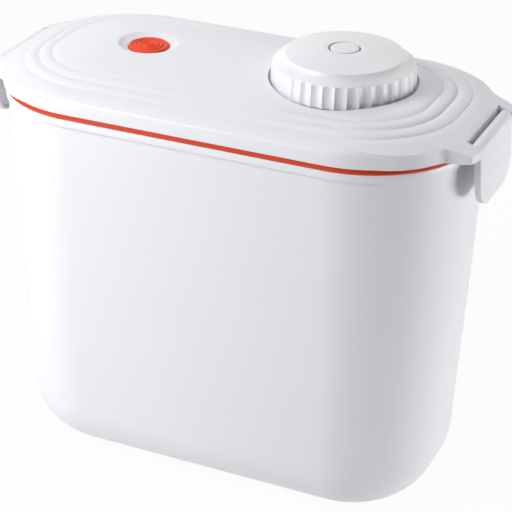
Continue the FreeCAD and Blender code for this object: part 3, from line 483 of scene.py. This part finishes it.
# %% Lid section
TERRACE_RISE = 1.8
TERRACE_TIP = math.radians(-17.0)
ROLL_WIDTH = 4.6
DECK = 270.2
CROWN_FLAT = 1.0
PAD_DEPTH = 8.2
UNDER_DROPS = (2.0, 6.8)
SKIRT_WALL = 3.0
SIDE_FADE = 0.72
TERRACE_STEPS = 10
DECK_STEPS = 20
roll_top = (TERRACE_INSETS[-1] + ROLL_WIDTH, FIRST_CREASE + TERRACE_RISE * len(TERRACE_INSETS))
spine = CORNER_R - CROWN_FLAT
crown_slope = 2 * math.atan((DECK - roll_top[1]) / (spine - roll_top[0]))
deck_under = DECK - PAD_DEPTH
lid_under = [(CORNER_R, deck_under), (TERRACE_INSETS[1], deck_under - UNDER_DROPS[0])]
lid_under += [(SKIRT_WALL, deck_under - UNDER_DROPS[1]), (SKIRT_WALL, SEAL_TOP)]
lid_under += [(0.7, SEAL_TOP), (0.2, SEAL_TOP + 0.2), (0.0, SEAL_TOP + 0.7)]
feet = [(inset, FIRST_CREASE + TERRACE_RISE * step) for step, inset in enumerate(TERRACE_INSETS)]
terraces = []
for foot, head in zip(feet, feet[1:]):
    terraces += rising_arc(foot, head, TERRACE_TIP, TERRACE_STEPS)
terraces += rising_arc(feet[-1], roll_top, crown_slope, TERRACE_STEPS)
crown = rising_arc(roll_top, (spine, DECK), 0.0, DECK_STEPS) + [(CORNER_R, DECK)]
end_section = lid_under + end_flange + terraces + crown
smooth_rise = rising_arc(feet[0], roll_top, crown_slope, len(terraces))
side_terraces = []
for stepped, smooth in zip(terraces, smooth_rise):
    side_terraces.append(tuple(a + (b - a) * SIDE_FADE for a, b in zip(stepped, smooth)))
side_section = lid_under + side_flange + side_terraces + crown
print("lid section points:", len(end_section), "slope of the crown:", round(math.degrees(crown_slope), 1))

# %% Lid sweep
FADE_END_X = 10.0
FADE_CUTS = 12


def at_open_edge(x, y, z):
    """True on the corner's last row and on the first row of the smooth side."""
    return y > END_FLAT / 2 - NEAR and (abs(x - CORNER_X) < NEAR or abs(x - FADE_END_X) < NEAR)


lid = sweep_corner("lid_shell", end_section)
bpy.ops.object.mode_set(mode="OBJECT")
side_chain = draw_chain("lid_side", [(FADE_END_X, RIM_WIDTH / 2 - inset, z) for inset, z in side_section])
pull(-FADE_END_X, 0, 0)
bpy.ops.object.mode_set(mode="OBJECT")
only(lid)
side_chain.select_set(True)
bpy.ops.object.join()
bpy.ops.object.mode_set(mode="EDIT")
select_where(at_open_edge)
bpy.ops.mesh.select_mode(type="EDGE")
bpy.ops.mesh.bridge_edge_loops(number_cuts=FADE_CUTS, interpolation="LINEAR")
bpy.ops.mesh.select_mode(type="VERT")
close_quarters(lid)
print("lid faces:", len(lid.data.polygons))

# %% [markdown]
# ## Turned shapes and cuts
# Round pieces are lathe work: half a section is drawn beside the axis and spun a full turn. A turned
# shape can also be a cutter, which a Boolean modifier takes out of another piece.

# %% Lathe
PUMP_X = 64.0
VALVE_X = -64.0


def whole(piece):
    """Merges doubles and turns all faces of the piece in edit mode outwards."""
    bpy.ops.mesh.select_all(action="SELECT")
    bpy.ops.mesh.remove_doubles(threshold=FINE_MERGE * MM)
    bpy.ops.mesh.select_all(action="SELECT")
    bpy.ops.mesh.normals_make_consistent(inside=False)
    bpy.ops.object.mode_set(mode="OBJECT")
    only(piece)
    bpy.ops.object.transform_apply(location=True, rotation=True, scale=True)
    return piece


def lathe(name, section, centre_x, steps):
    """Solid turned about an upright axis at centre_x from (radius, height) points."""
    piece = draw_chain(name, [(centre_x + radius, 0.0, z) for radius, z in section])
    bpy.ops.mesh.spin(steps=steps, angle=2 * math.pi, axis=(0, 0, 1), center=(centre_x * MM, 0, 0))
    return whole(piece)


def cut(piece, cutter, operation="DIFFERENCE"):
    """Applies a Boolean modifier and throws the cutter away."""
    only(piece)
    boolean = piece.modifiers.new("cut", "BOOLEAN")
    boolean.operation = operation
    boolean.object = cutter
    boolean.solver = "EXACT"
    bpy.ops.object.modifier_apply(modifier="cut")
    bpy.data.objects.remove(cutter)


print("pump axis at x", PUMP_X, "and valve axis at x", VALVE_X)

# %% [markdown]
# ## Well and dish
# The knob stands in a shallow round well and the button in a dish, so that neither catches on anything.
# Both are cut with turned cutters that reach far above the lid. The dish's cutter flares at its top,
# which leaves a rounded lip without a bevel on an edge that Booleans have made uneven.

# %% Well and dish
CUT_LOW = 255.0
CUT_HIGH = 300.0
WELL_R = 44.5
WELL_DEPTH = 4.7
WELL_FLOOR = DECK - WELL_DEPTH
WELL_SOFT = 0.5
WELL_STEPS = 160
SHAFT_R = 20.1
well = [(0.0, CUT_LOW), (SHAFT_R, CUT_LOW), (SHAFT_R, WELL_FLOOR), (WELL_R - WELL_SOFT, WELL_FLOOR)]
well += [(WELL_R, WELL_FLOOR + WELL_SOFT), (WELL_R, CUT_HIGH), (0.0, CUT_HIGH)]
cut(lid, lathe("well_cutter", well, PUMP_X, WELL_STEPS))
BUTTON_HOLE_R = 12.9
DISH_DEPTH = 2.8
DISH_LIP = [(16.4, -1.5), (17.3, -0.95), (17.9, -0.5), (18.5, -0.2), (19.4, 0.0), (20.5, 0.12)]
DISH_STEPS = 128
dish = [(0.0, CUT_LOW), (BUTTON_HOLE_R, CUT_LOW), (BUTTON_HOLE_R, DECK - DISH_DEPTH)]
dish += [(radius, DECK + rise) for radius, rise in DISH_LIP]
dish += [(DISH_LIP[-1][0], CUT_HIGH), (0.0, CUT_HIGH)]
cut(lid, lathe("dish_cutter", dish, VALVE_X, DISH_STEPS))
print("lid faces after cuts:", len(lid.data.polygons))

# %% [markdown]
# ## Ears
# At each end the flange runs on outwards as an ear that carries the latch. Its top is the flange's own
# slope, so it is swept like the lid, and then trimmed to its plan by a Boolean with an upright prism. The
# plan leaves the rim very gradually, because a sudden start would show as a tick on the lid's edge.

# %% Ear plan
EAR_START = 6.5
EAR_FLANK = [(88.4, 70.7), (92.9, 71.5), (97.6, 72.0), (102.3, 72.0), (107.0, 71.4), (111.6, 70.3)]
EAR_FLANK += [(115.5, 68.8), (118.9, 67.4), (123.7, 64.8), (130.6, 59.6), (135.4, 54.2), (138.8, 49.5)]
EAR_FLANK += [(141.3, 46.0), (142.8, 44.6), (145.5, 43.5), (150.0, 42.3), (154.3, 41.3), (155.8, 40.7)]
EAR_FLANK += [(157.0, 39.6), (157.8, 38.0), (158.6, 35.0), (159.2, 31.0)]
end_fall, end_bend = flange_fall(END_CREASE_DEG)
start_out = TERRACE_INSETS[0] - EAR_START
ear_fall = end_fall + 2 * end_bend * start_out
ear_high = FIRST_CREASE - end_fall * start_out - end_bend * start_out ** 2


def ear_top(inset):
    """Height of the ear's straight top, which leaves the flange without a step."""
    return ear_high - ear_fall * (EAR_START - inset)


def prism(name, outline, way):
    """Solid of a closed outline of points, pulled along a way."""
    piece = draw_chain(name, outline)
    bpy.ops.mesh.edge_face_add()
    pull(*way)
    return whole(piece)


print("slope of the ear:", round(math.degrees(math.atan(ear_fall)), 1), "from height", round(ear_high, 1))

# %% Ear
EAR_MIDDLE = -8.0
EAR_REACH = -21.0
EAR_ROOT_DEPTH = 2.0
EAR_TUCK = 0.2
TRIM_LOW = 240.0
TRIM_HEIGHT = 30.0
ear_root = ear_top(EAR_START) - EAR_ROOT_DEPTH
ear_inner = SKIRT_WALL - EAR_TUCK
ear_section = [(EAR_START, ear_root), (EAR_START, ear_top(EAR_START)), (EAR_MIDDLE, ear_top(EAR_MIDDLE))]
ear_section += [(EAR_REACH, ear_top(EAR_REACH)), (EAR_REACH, SEAL_TOP), (ear_inner, SEAL_TOP)]
ear_section += [(ear_inner, ear_root), (EAR_START, ear_root)]
ear = sweep_corner("ear", ear_section)
bpy.ops.object.mode_set(mode="OBJECT")
only(ear)
bpy.ops.object.transform_apply(location=True, rotation=True, scale=True)
halves = ear.modifiers.new("halves", "MIRROR")
halves.use_axis = (False, True, False)
bpy.ops.object.modifier_apply(modifier="halves")
bpy.ops.object.mode_set(mode="EDIT")
bpy.ops.mesh.select_all(action="SELECT")
bpy.ops.mesh.remove_doubles(threshold=FINE_MERGE * MM)
bpy.ops.mesh.fill_holes(sides=0)
whole(ear)
flank = EAR_FLANK + [(x, -y) for x, y in reversed(EAR_FLANK)]
cut(ear, prism("ear_plan", [(x, y, TRIM_LOW) for x, y in flank], (0, 0, TRIM_HEIGHT)), "INTERSECT")
print("ear faces:", len(ear.data.polygons))

# %% [markdown]
# ## Latch slot
# The latch hangs in a slot through the ear. The slot's inner lip is rounded, and that soft edge catches
# the light beside the latch. The arc is part of the cutter's own outline: it is tangent to the ear's
# slope at its top and to the slot's wall at its bottom.

# %% Latch slot
NOTCH_HALF_WIDTH = 29.5
LIP_R = 5.0
LIP_STEPS = 10
LIP_FLARE = 1.0
SLOT_WALL_X = 150.5
SLOT_OUT_X = 172.0
SLOT_HIGH = 275.0
lip_slope = math.atan(ear_fall)
lip_x = SLOT_WALL_X - LIP_R
lip_z = ear_top(RIM_LENGTH / 2 - SLOT_WALL_X) - LIP_R * (1 - math.sin(lip_slope)) / math.cos(lip_slope)
notch = [(SLOT_WALL_X, TRIM_LOW)]
notch += fillet((lip_x, lip_z), LIP_R, 0, 90 - math.degrees(lip_slope), LIP_STEPS)
notch += [(notch[-1][0] + LIP_FLARE, SLOT_HIGH), (SLOT_OUT_X, SLOT_HIGH), (SLOT_OUT_X, TRIM_LOW)]
cut(ear, prism("notch", [(x, -NOTCH_HALF_WIDTH, z) for x, z in notch], (0, 2 * NOTCH_HALF_WIDTH, 0)))
print("ear faces with its slot:", len(ear.data.polygons))

# %% [markdown]
# ## Ears on the lid
# One ear is modelled, and its copy at the other end is a mirror of it with its own mesh. A mirror turns
# the faces inside out, so the copy's normals are recalculated. A bevel modifier softens the sharp edges
# before both ears are joined to the lid.

# %% Ears on the lid
EAR_EDGE = 0.7


def mirrored_copy(piece, name):
    """Copy on the other end, with its own mesh."""
    only(piece)
    bpy.ops.object.duplicate()
    copy = bpy.context.active_object
    copy.name = name
    copy.data.name = name
    bpy.ops.transform.resize(value=(-1, 1, 1), center_override=(0, 0, 0))
    bpy.ops.object.transform_apply(location=True, rotation=True, scale=True)
    bpy.ops.object.mode_set(mode="EDIT")
    bpy.ops.mesh.select_all(action="SELECT")
    bpy.ops.mesh.normals_make_consistent(inside=False)
    bpy.ops.object.mode_set(mode="OBJECT")
    return copy


def soften(piece, width, segments, angle_deg=30.0):
    """Rounds the piece's sharp edges."""
    only(piece)
    edge = piece.modifiers.new("soft_edges", "BEVEL")
    edge.width = width * MM
    edge.segments = segments
    edge.limit_method = "ANGLE"
    edge.angle_limit = math.radians(angle_deg)
    bpy.ops.object.modifier_apply(modifier="soft_edges")


soften(ear, EAR_EDGE, segments=3)
left_ear = mirrored_copy(ear, "left_ear")
only(lid)
ear.select_set(True)
left_ear.select_set(True)
bpy.ops.object.join()
settle(lid, "lid", lid_white, ["lid_cover"], crease_deg=12.0)

# %% [markdown]
# ## Knob
# The pump's knob is a low drum with shallow scallops, a coved shoulder and a gently domed top. One
# scallop is modelled: its section is spun through its share of the turn, and the columns between its
# edges are pulled in. Their top row also moves up along the shoulder, so each scallop runs out on the
# slope. Copies spun round the axis close the drum.

# %% Knob section
FLUTE_COUNT = 38
FLUTE_COLUMNS = 8
FLUTE_DEPTH = 1.0
KNOB_R = 43.5
KNOB_FOOT = 266.0
GRIP_TOP_R = 42.3
GRIP_TOP = 279.3
SHOULDER_SLOPE = 0.65
DOME_R = 35.3
DOME_EDGE = 285.1
DOME_RISE = 3.2
CAP_HOLE_R = 9.7
CAP_HOLE_EDGE = 0.45
KNOB_INNER_R = 41.1
KNOB_CEILING = 283.4
DOME_SPHERE_R = (DOME_R ** 2 + DOME_RISE ** 2) / (2 * DOME_RISE)


def dome_height(radius):
    """Height of the knob's domed top."""
    return DOME_EDGE + DOME_RISE - DOME_SPHERE_R + math.sqrt(DOME_SPHERE_R ** 2 - radius ** 2)


dome_radii = [CAP_HOLE_R + CAP_HOLE_EDGE, 14.0, 18.0, 22.0, 26.0, 29.0, 32.0, 34.3]
knob_section = [(CAP_HOLE_R, KNOB_CEILING), (CAP_HOLE_R, dome_height(CAP_HOLE_R) - 0.4)]
knob_section += [(CAP_HOLE_R + 0.12, dome_height(CAP_HOLE_R) - 0.12)]
knob_section += [(radius, dome_height(radius)) for radius in dome_radii]
knob_section += [(DOME_R - 0.3, DOME_EDGE - 0.02), (DOME_R, DOME_EDGE - 0.3), (35.6, 284.2), (36.2, 283.3)]
knob_section += [(37.2, 282.4), (38.4, 281.6), (39.6, 280.95), (40.6, 280.4)]
knob_section += [(GRIP_TOP_R, GRIP_TOP), (42.65, 275.0), (43.1, 270.0), (KNOB_R - 0.1, KNOB_FOOT + 0.4)]
knob_section += [(KNOB_R - 0.4, KNOB_FOOT), (KNOB_INNER_R, KNOB_FOOT), (KNOB_INNER_R, 276.6)]
knob_section += [(38.6, 278.6), (33.0, 282.0), (CAP_HOLE_R, KNOB_CEILING)]
print("knob section points:", len(knob_section))

# %% Knob
ROW_ROOM = 0.1
pump_centre = (PUMP_X * MM, 0, 0)
flute_turn = 2 * math.pi / FLUTE_COUNT
grip_rows = (KNOB_FOOT - ROW_ROOM, GRIP_TOP - ROW_ROOM, 0.0)
top_row = (GRIP_TOP - ROW_ROOM, GRIP_TOP + ROW_ROOM, SHOULDER_SLOPE)
knob = draw_chain("knob_grip_shell", [(PUMP_X + radius, 0.0, z) for radius, z in knob_section])
bpy.ops.mesh.spin(steps=FLUTE_COLUMNS, angle=-flute_turn, axis=(0, 0, 1), center=pump_centre)
for column in range(1, FLUTE_COLUMNS):
    across = 2 * column / FLUTE_COLUMNS - 1
    turn = flute_turn * column / FLUTE_COLUMNS
    depth = FLUTE_DEPTH * (1 - across ** 2)
    for low, high, rise in (grip_rows, top_row):
        select_where(lambda x, y, z: low < z < high and math.hypot(x - PUMP_X, y) > GRIP_TOP_R - ROW_ROOM
                     and abs(math.atan2(y, x - PUMP_X) - turn) < flute_turn / FLUTE_COLUMNS / 3)
        bpy.ops.transform.translate(value=Vector((-math.cos(turn), -math.sin(turn), rise)) * depth * MM)
bpy.ops.mesh.select_all(action="SELECT")
bpy.ops.mesh.spin(steps=FLUTE_COUNT, angle=2 * math.pi, dupli=True, axis=(0, 0, 1), center=pump_centre)
whole(knob)
settle(knob, "knob", knob_white, ["knob_grip"], crease_deg=24.0)

# %% [markdown]
# ## Cap in the knob
# A small round cap hides the screw in the middle of the knob. It continues the knob's dome and is a
# little smaller than its hole, and the gap between the two is the fine dark ring on the top.

# %% Cap
CAP_R = 8.5
CAP_FOOT = 286.7
CAP_EDGE = [(7.9, 0.02), (8.3, 0.12), (CAP_R, 0.4)]
TURN_STEPS = 96
cap_section = [(radius, dome_height(radius)) for radius in (0.0, 3.0, 6.0)]
cap_section += [(radius, dome_height(radius) - drop) for radius, drop in CAP_EDGE]
cap_section += [(CAP_R, CAP_FOOT), (0.0, CAP_FOOT)]
cap = lathe("knob_centre_cap", cap_section, PUMP_X, TURN_STEPS)
settle(cap, "knob", knob_white, ["knob_cap"], crease_deg=30.0)

# %% [markdown]
# ## Release button
# The orange button is a soft moulding with rings like those a drop makes in water. The rings are a wave
# in the turned section, and the skirt below is hollow for the stem and its spring.

# %% Release button
BUTTON_R = 12.5
BUTTON_SET_DOWN = 1.4
BUTTON_CROWN = 0.75
RING_PITCH = 2.75
RING_DEPTH = 0.5
RINGS_R = 11.3
RING_SAMPLES = 56
BUTTON_EDGE = [(11.8, 0.02), (12.2, -0.15), (12.42, -0.45), (BUTTON_R, -0.9)]
BUTTON_SKIRT = 6.9
BUTTON_SKIRT_R = 10.5
BUTTON_SKIN = 2.0
button_rim = DECK - BUTTON_SET_DOWN
skirt_foot = button_rim - BUTTON_SKIRT
button_under = button_rim - BUTTON_SKIN
button_section = []
for step in range(RING_SAMPLES + 1):
    radius = RINGS_R * step / RING_SAMPLES
    swell = BUTTON_CROWN * (1 - (radius / BUTTON_R) ** 2)
    ring = RING_DEPTH * (math.cos(2 * math.pi * radius / RING_PITCH) - 1)
    button_section.append((radius, button_rim + swell + ring))
button_section += [(radius, button_rim + rise) for radius, rise in BUTTON_EDGE]
button_section += [(BUTTON_R, skirt_foot), (BUTTON_SKIRT_R, skirt_foot)]
button_section += [(BUTTON_SKIRT_R, button_under), (0.0, button_under)]
button = lathe("ripple_button", button_section, VALVE_X, TURN_STEPS)
settle(button, "button", button_orange, ["release_button"], crease_deg=40.0)

# %% [markdown]
# ## Return spring
# A coil under the button lifts it again. It is a small circle that a Screw modifier carries round the
# axis and upwards.

# %% Return spring
SPRING_R = 8.0
SPRING_WIRE_R = 0.7
SPRING_TURNS = 3
SPRING_LOW = 245.0
SPRING_HIGH = 266.75
COIL_STEPS = 24
WIRE_SIDES = 10
bpy.ops.object.select_all(action="DESELECT")
bpy.ops.mesh.primitive_circle_add(vertices=WIRE_SIDES, radius=SPRING_WIRE_R * MM,
                                  location=Vector((VALVE_X, 0, SPRING_LOW + SPRING_WIRE_R)) * MM,
                                  rotation=(math.pi / 2, 0, 0))
spring = bpy.context.active_object
spring.name = "return_spring"
spring.data.name = "return_spring"
bpy.ops.object.transform_apply(location=False, rotation=True, scale=True)
bpy.ops.object.mode_set(mode="EDIT")
bpy.ops.mesh.select_all(action="SELECT")
bpy.ops.transform.translate(value=(SPRING_R * MM, 0, 0))
bpy.ops.object.mode_set(mode="OBJECT")
screw = spring.modifiers.new("coil", "SCREW")
screw.screw_offset = (SPRING_HIGH - SPRING_LOW - 2 * SPRING_WIRE_R) / SPRING_TURNS * MM
screw.iterations = SPRING_TURNS
screw.steps = COIL_STEPS
screw.render_steps = COIL_STEPS
bpy.ops.object.modifier_apply(modifier="coil")
bpy.ops.object.mode_set(mode="EDIT")
bpy.ops.mesh.select_all(action="SELECT")
bpy.ops.mesh.fill_holes(sides=0)
whole(spring)
settle(spring, "lid", spring_steel, ["valve_spring"], crease_deg=60.0)
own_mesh(spring)

# %% [markdown]
# ## Latches
# Each latch is a shallow tray that hangs from a knuckle on the hinge pin. Its section is one line: from
# the back over the knuckle and down the face. Pulled to its width it is a plate, and its two lower
# corners are bevelled round.

# %% Latch
HINGE_X = 155.0
HINGE_Z = 250.61
KNUCKLE_R = 4.0
LATCH_HALF_WIDTH = 29.0
LATCH_LENGTH = 36.7
LATCH_THICKNESS = 4.0
LATCH_SKIN = 2.0
LATCH_CORNER_R = 17.0
LATCH_CORNER_STEPS = 16
LATCH_FOOT_BAND = 3.0
KNUCKLE_STEPS = 28
FLARE_DEG = 3.0
flare = math.radians(FLARE_DEG)
face_normal = Vector((math.cos(flare), 0.0, math.sin(flare)))
face_down = Vector((math.sin(flare), 0.0, -math.cos(flare)))
hinge = Vector((HINGE_X, 0.0, HINGE_Z))
back_drop = math.sqrt(KNUCKLE_R ** 2 - (LATCH_THICKNESS - KNUCKLE_R) ** 2)
back_top = hinge - face_normal * (LATCH_THICKNESS - KNUCKLE_R) + face_down * back_drop
back_turn = math.degrees(math.atan2(back_top.z - HINGE_Z, back_top.x - HINGE_X)) % 360
knuckle = fillet((HINGE_X, HINGE_Z), KNUCKLE_R, back_turn, FLARE_DEG, KNUCKLE_STEPS)
latch_section = [Vector((x, 0.0, z)) for x, z in knuckle]
face_foot = latch_section[-1] + face_down * LATCH_LENGTH
latch_section += [face_foot, face_foot - face_normal * LATCH_THICKNESS]
for point in latch_section:
    point.y = -LATCH_HALF_WIDTH
latch = draw_chain("latch_right_tray", latch_section)
bpy.ops.mesh.edge_face_add()
pull(0, 2 * LATCH_HALF_WIDTH, 0)
bpy.ops.mesh.select_all(action="SELECT")
bpy.ops.mesh.normals_make_consistent(inside=False)
bpy.ops.mesh.select_mode(type="EDGE")
bpy.ops.mesh.select_all(action="DESELECT")
bpy.ops.object.mode_set(mode="OBJECT")
for edge in latch.data.edges:
    ends = [latch.data.vertices[index].co + latch.location for index in edge.vertices]
    low_pair = all(end.z / MM < HINGE_Z - LATCH_LENGTH + LATCH_FOOT_BAND for end in ends)
    edge.select = low_pair and abs(ends[0].y - ends[1].y) < MM
bpy.ops.object.mode_set(mode="EDIT")
bpy.ops.mesh.bevel(offset=LATCH_CORNER_R * MM, segments=LATCH_CORNER_STEPS, affect="EDGES")
print("latch faces:", len(latch.data.polygons))

# %% [markdown]
# ## Latch tray and hook
# Moulded plastic has even walls, so the latch's back is hollow: its largest face is inset by the wall and
# pushed in. The hook that clips under the rim band is a small softened bar joined to the tray. The left
# latch is a mirrored copy.

# %% Latch tray
LATCH_EDGE = 0.9
LATCH_EDGE_DEG = 40.0
FACING_BACK = -0.99
bpy.ops.mesh.select_mode(type="FACE")
bpy.ops.mesh.select_all(action="DESELECT")
bpy.ops.object.mode_set(mode="OBJECT")
backs = [face for face in latch.data.polygons if face.normal.dot(face_normal) < FACING_BACK]
max(backs, key=lambda face: face.area).select = True
bpy.ops.object.mode_set(mode="EDIT")
bpy.ops.mesh.inset(thickness=LATCH_SKIN * MM, depth=0)
push_in = face_normal * (LATCH_THICKNESS - LATCH_SKIN) * MM
bpy.ops.mesh.extrude_region_move(TRANSFORM_OT_translate={"value": push_in})
bpy.ops.mesh.select_mode(type="VERT")
whole(latch)
soften(latch, LATCH_EDGE, segments=3, angle_deg=LATCH_EDGE_DEG)
print("latch faces with its tray:", len(latch.data.polygons))

# %% Hook
HOOK_X = (150.5, 158.6)
HOOK_Z = (235.6, 238.6)
HOOK_HALF_WIDTH = 14.0
HOOK_EDGE = 0.5
hook_middle = Vector((sum(HOOK_X) / 2, 0, sum(HOOK_Z) / 2)) * MM
bpy.ops.object.select_all(action="DESELECT")
bpy.ops.mesh.primitive_cube_add(size=1.0, location=hook_middle)
hook = bpy.context.active_object
hook.scale = Vector((HOOK_X[1] - HOOK_X[0], 2 * HOOK_HALF_WIDTH, HOOK_Z[1] - HOOK_Z[0])) * MM
bpy.ops.object.transform_apply(location=True, rotation=True, scale=True)
soften(hook, HOOK_EDGE, segments=2)
only(latch)
hook.select_set(True)
bpy.ops.object.join()
left_latch = mirrored_copy(latch, "latch_left_tray")
settle(latch, "latch_right", lid_white, ["latch_right"], crease_deg=30.0)
settle(left_latch, "latch_left", lid_white, ["latch_left"], crease_deg=30.0)

# %% [markdown]
# ## Parts inside
# The pump, the release valve and the screws keep their CAD shapes, which are right as they are. Each gets
# the finish of its own material slot, and nothing about its mesh is changed.

# %% Finishes of the inner parts
INNER = {
    lid_white: ["lid_liner"],
    pump_white: ["pump_barrel", "barrel_base", "filter_cover", "valve_bush"],
    pump_grey: ["cam_drum", "guide_sleeve", "piston", "valve_stem"],
    rubber_black: ["piston_seal", "outlet_valve", "inlet_valve"],
    silicone_orange: ["valve_pad"],
    filter_foam: ["dust_filter"],
    steel: ["liner_screws", "hinge_pin_right", "hinge_pin_left", "knob_screws", "shoulder_screw",
            "barrel_screws", "follower_pin"],
}
for finish, names in INNER.items():
    for name in names:
        NODES[name].data.materials.clear()
        NODES[name].data.materials.append(finish)
print("inner parts:", sum(len(names) for names in INNER.values()))

# %% [markdown]
# ## Lamps
# White plastic shows its shape only by soft shade, so the light comes from a few large soft boxes of
# different strength: a key from the upper left, low fills that keep the front pale, one low at the right
# end for the latch, and two from above for the terraces. All are weak enough that the white keeps its
# shade.

# %% Lamps
def area_light(name, place, aim, size, power):
    """Soft box at a place, turned to its aim."""
    data = bpy.data.lights.new(name, "AREA")
    data.shape = "RECTANGLE"
    data.size = size[0]
    data.size_y = size[1]
    data.energy = power
    lamp = bpy.data.objects.new(name, data)
    bpy.context.scene.collection.objects.link(lamp)
    turn = (Vector(place) - Vector(aim)).to_track_quat("Z", "Y").to_matrix().to_4x4()
    lamp.matrix_world = Matrix.Translation(Vector(place)) @ turn


MIDDLE = (0.0, 0.0, 0.14)
area_light("key", (-0.48, -0.58, 0.78), MIDDLE, size=(0.4, 0.4), power=6.1)
area_light("low_left_fill", (-0.5, -0.65, 0.12), MIDDLE, size=(0.4, 0.2), power=1.9)
area_light("back_left_fill", (-0.6, 0.7, 0.6), MIDDLE, size=(0.6, 0.6), power=0.6)
area_light("right_end_low", (0.9, 0.1, 0.06), MIDDLE, size=(0.4, 0.2), power=4.0)
area_light("right_end", (0.9, 0.3, 0.3), MIDDLE, size=(0.4, 0.5), power=0.4)
area_light("top", (-0.2, 0.0, 1.1), MIDDLE, size=(0.6, 0.6), power=1.85)
area_light("back_top", (0.2, 0.6, 0.9), MIDDLE, size=(0.6, 0.6), power=2.1)
print("lamps:", [lamp.name for lamp in bpy.data.lights])

# %% [markdown]
# ## Background
# The photograph has a pure white background. A world that bright would wash the object out, so it is
# white only to the camera and in reflections, and a weak grey to every other ray. Light Path tells the
# rays apart.

# %% Background
def seen_or_mirrored(tree):
    """1 for rays from the camera and for those that a gloss or a clear part passes on, else 0."""
    path = tree.nodes.new("ShaderNodeLightPath")
    names = ("Is Camera Ray", "Is Glossy Ray", "Is Transmission Ray")
    rays = [Wire(tree, path.outputs[name]) for name in names]
    return rays[0].math("MINIMUM", rays[0] + rays[1] + rays[2], 1.0)


AMBIENT = 0.09
world = bpy.data.worlds.new("studio")
bpy.context.scene.world = world
world.use_nodes = True
sky = world.node_tree.nodes["Background"]
sky.inputs["Color"].default_value = (1, 1, 1, 1)
shown = seen_or_mirrored(world.node_tree)
level = AMBIENT + shown * (1.0 - AMBIENT)
world.node_tree.links.new(level.socket, sky.inputs["Strength"])
print("ambient light:", AMBIENT)

# %% [markdown]
# ## Floor
# A sheet of white paper lies under the canister. Most of it is plain white to the camera, as the
# background is, and a small share is lit paper, which keeps a trace of the shadow so that the canister
# stands on something.

# %% Floor
FLOOR_SIZE = 8.0
FLOOR_WHITE = 0.95
PAPER_GREY = 0.85
PAPER_ROUGHNESS = 0.9
bpy.ops.object.select_all(action="DESELECT")
bpy.ops.mesh.primitive_plane_add(size=FLOOR_SIZE, location=(0, 0, 0))
floor = bpy.context.active_object
floor.name = "floor"
paper, paper_shader, paper_place = new_finish("floor_paper")
paper_shader.inputs["Base Color"].default_value = (PAPER_GREY, PAPER_GREY, PAPER_GREY, 1)
paper_shader.inputs["Roughness"].default_value = PAPER_ROUGHNESS
white = paper_place.node("ShaderNodeEmission", {}, {"Color": (1, 1, 1, 1), "Strength": 1.0})
share = seen_or_mirrored(paper.node_tree) * FLOOR_WHITE
lit = Wire(paper.node_tree, paper_shader.outputs["BSDF"])
surface = paper_place.node("ShaderNodeMixShader", {}, {0: share, 1: lit, 2: white})
paper.node_tree.links.new(surface.socket, paper.node_tree.nodes["Material Output"].inputs["Surface"])
floor.data.materials.append(paper)
print("floor:", [round(size, 1) for size in floor.dimensions])
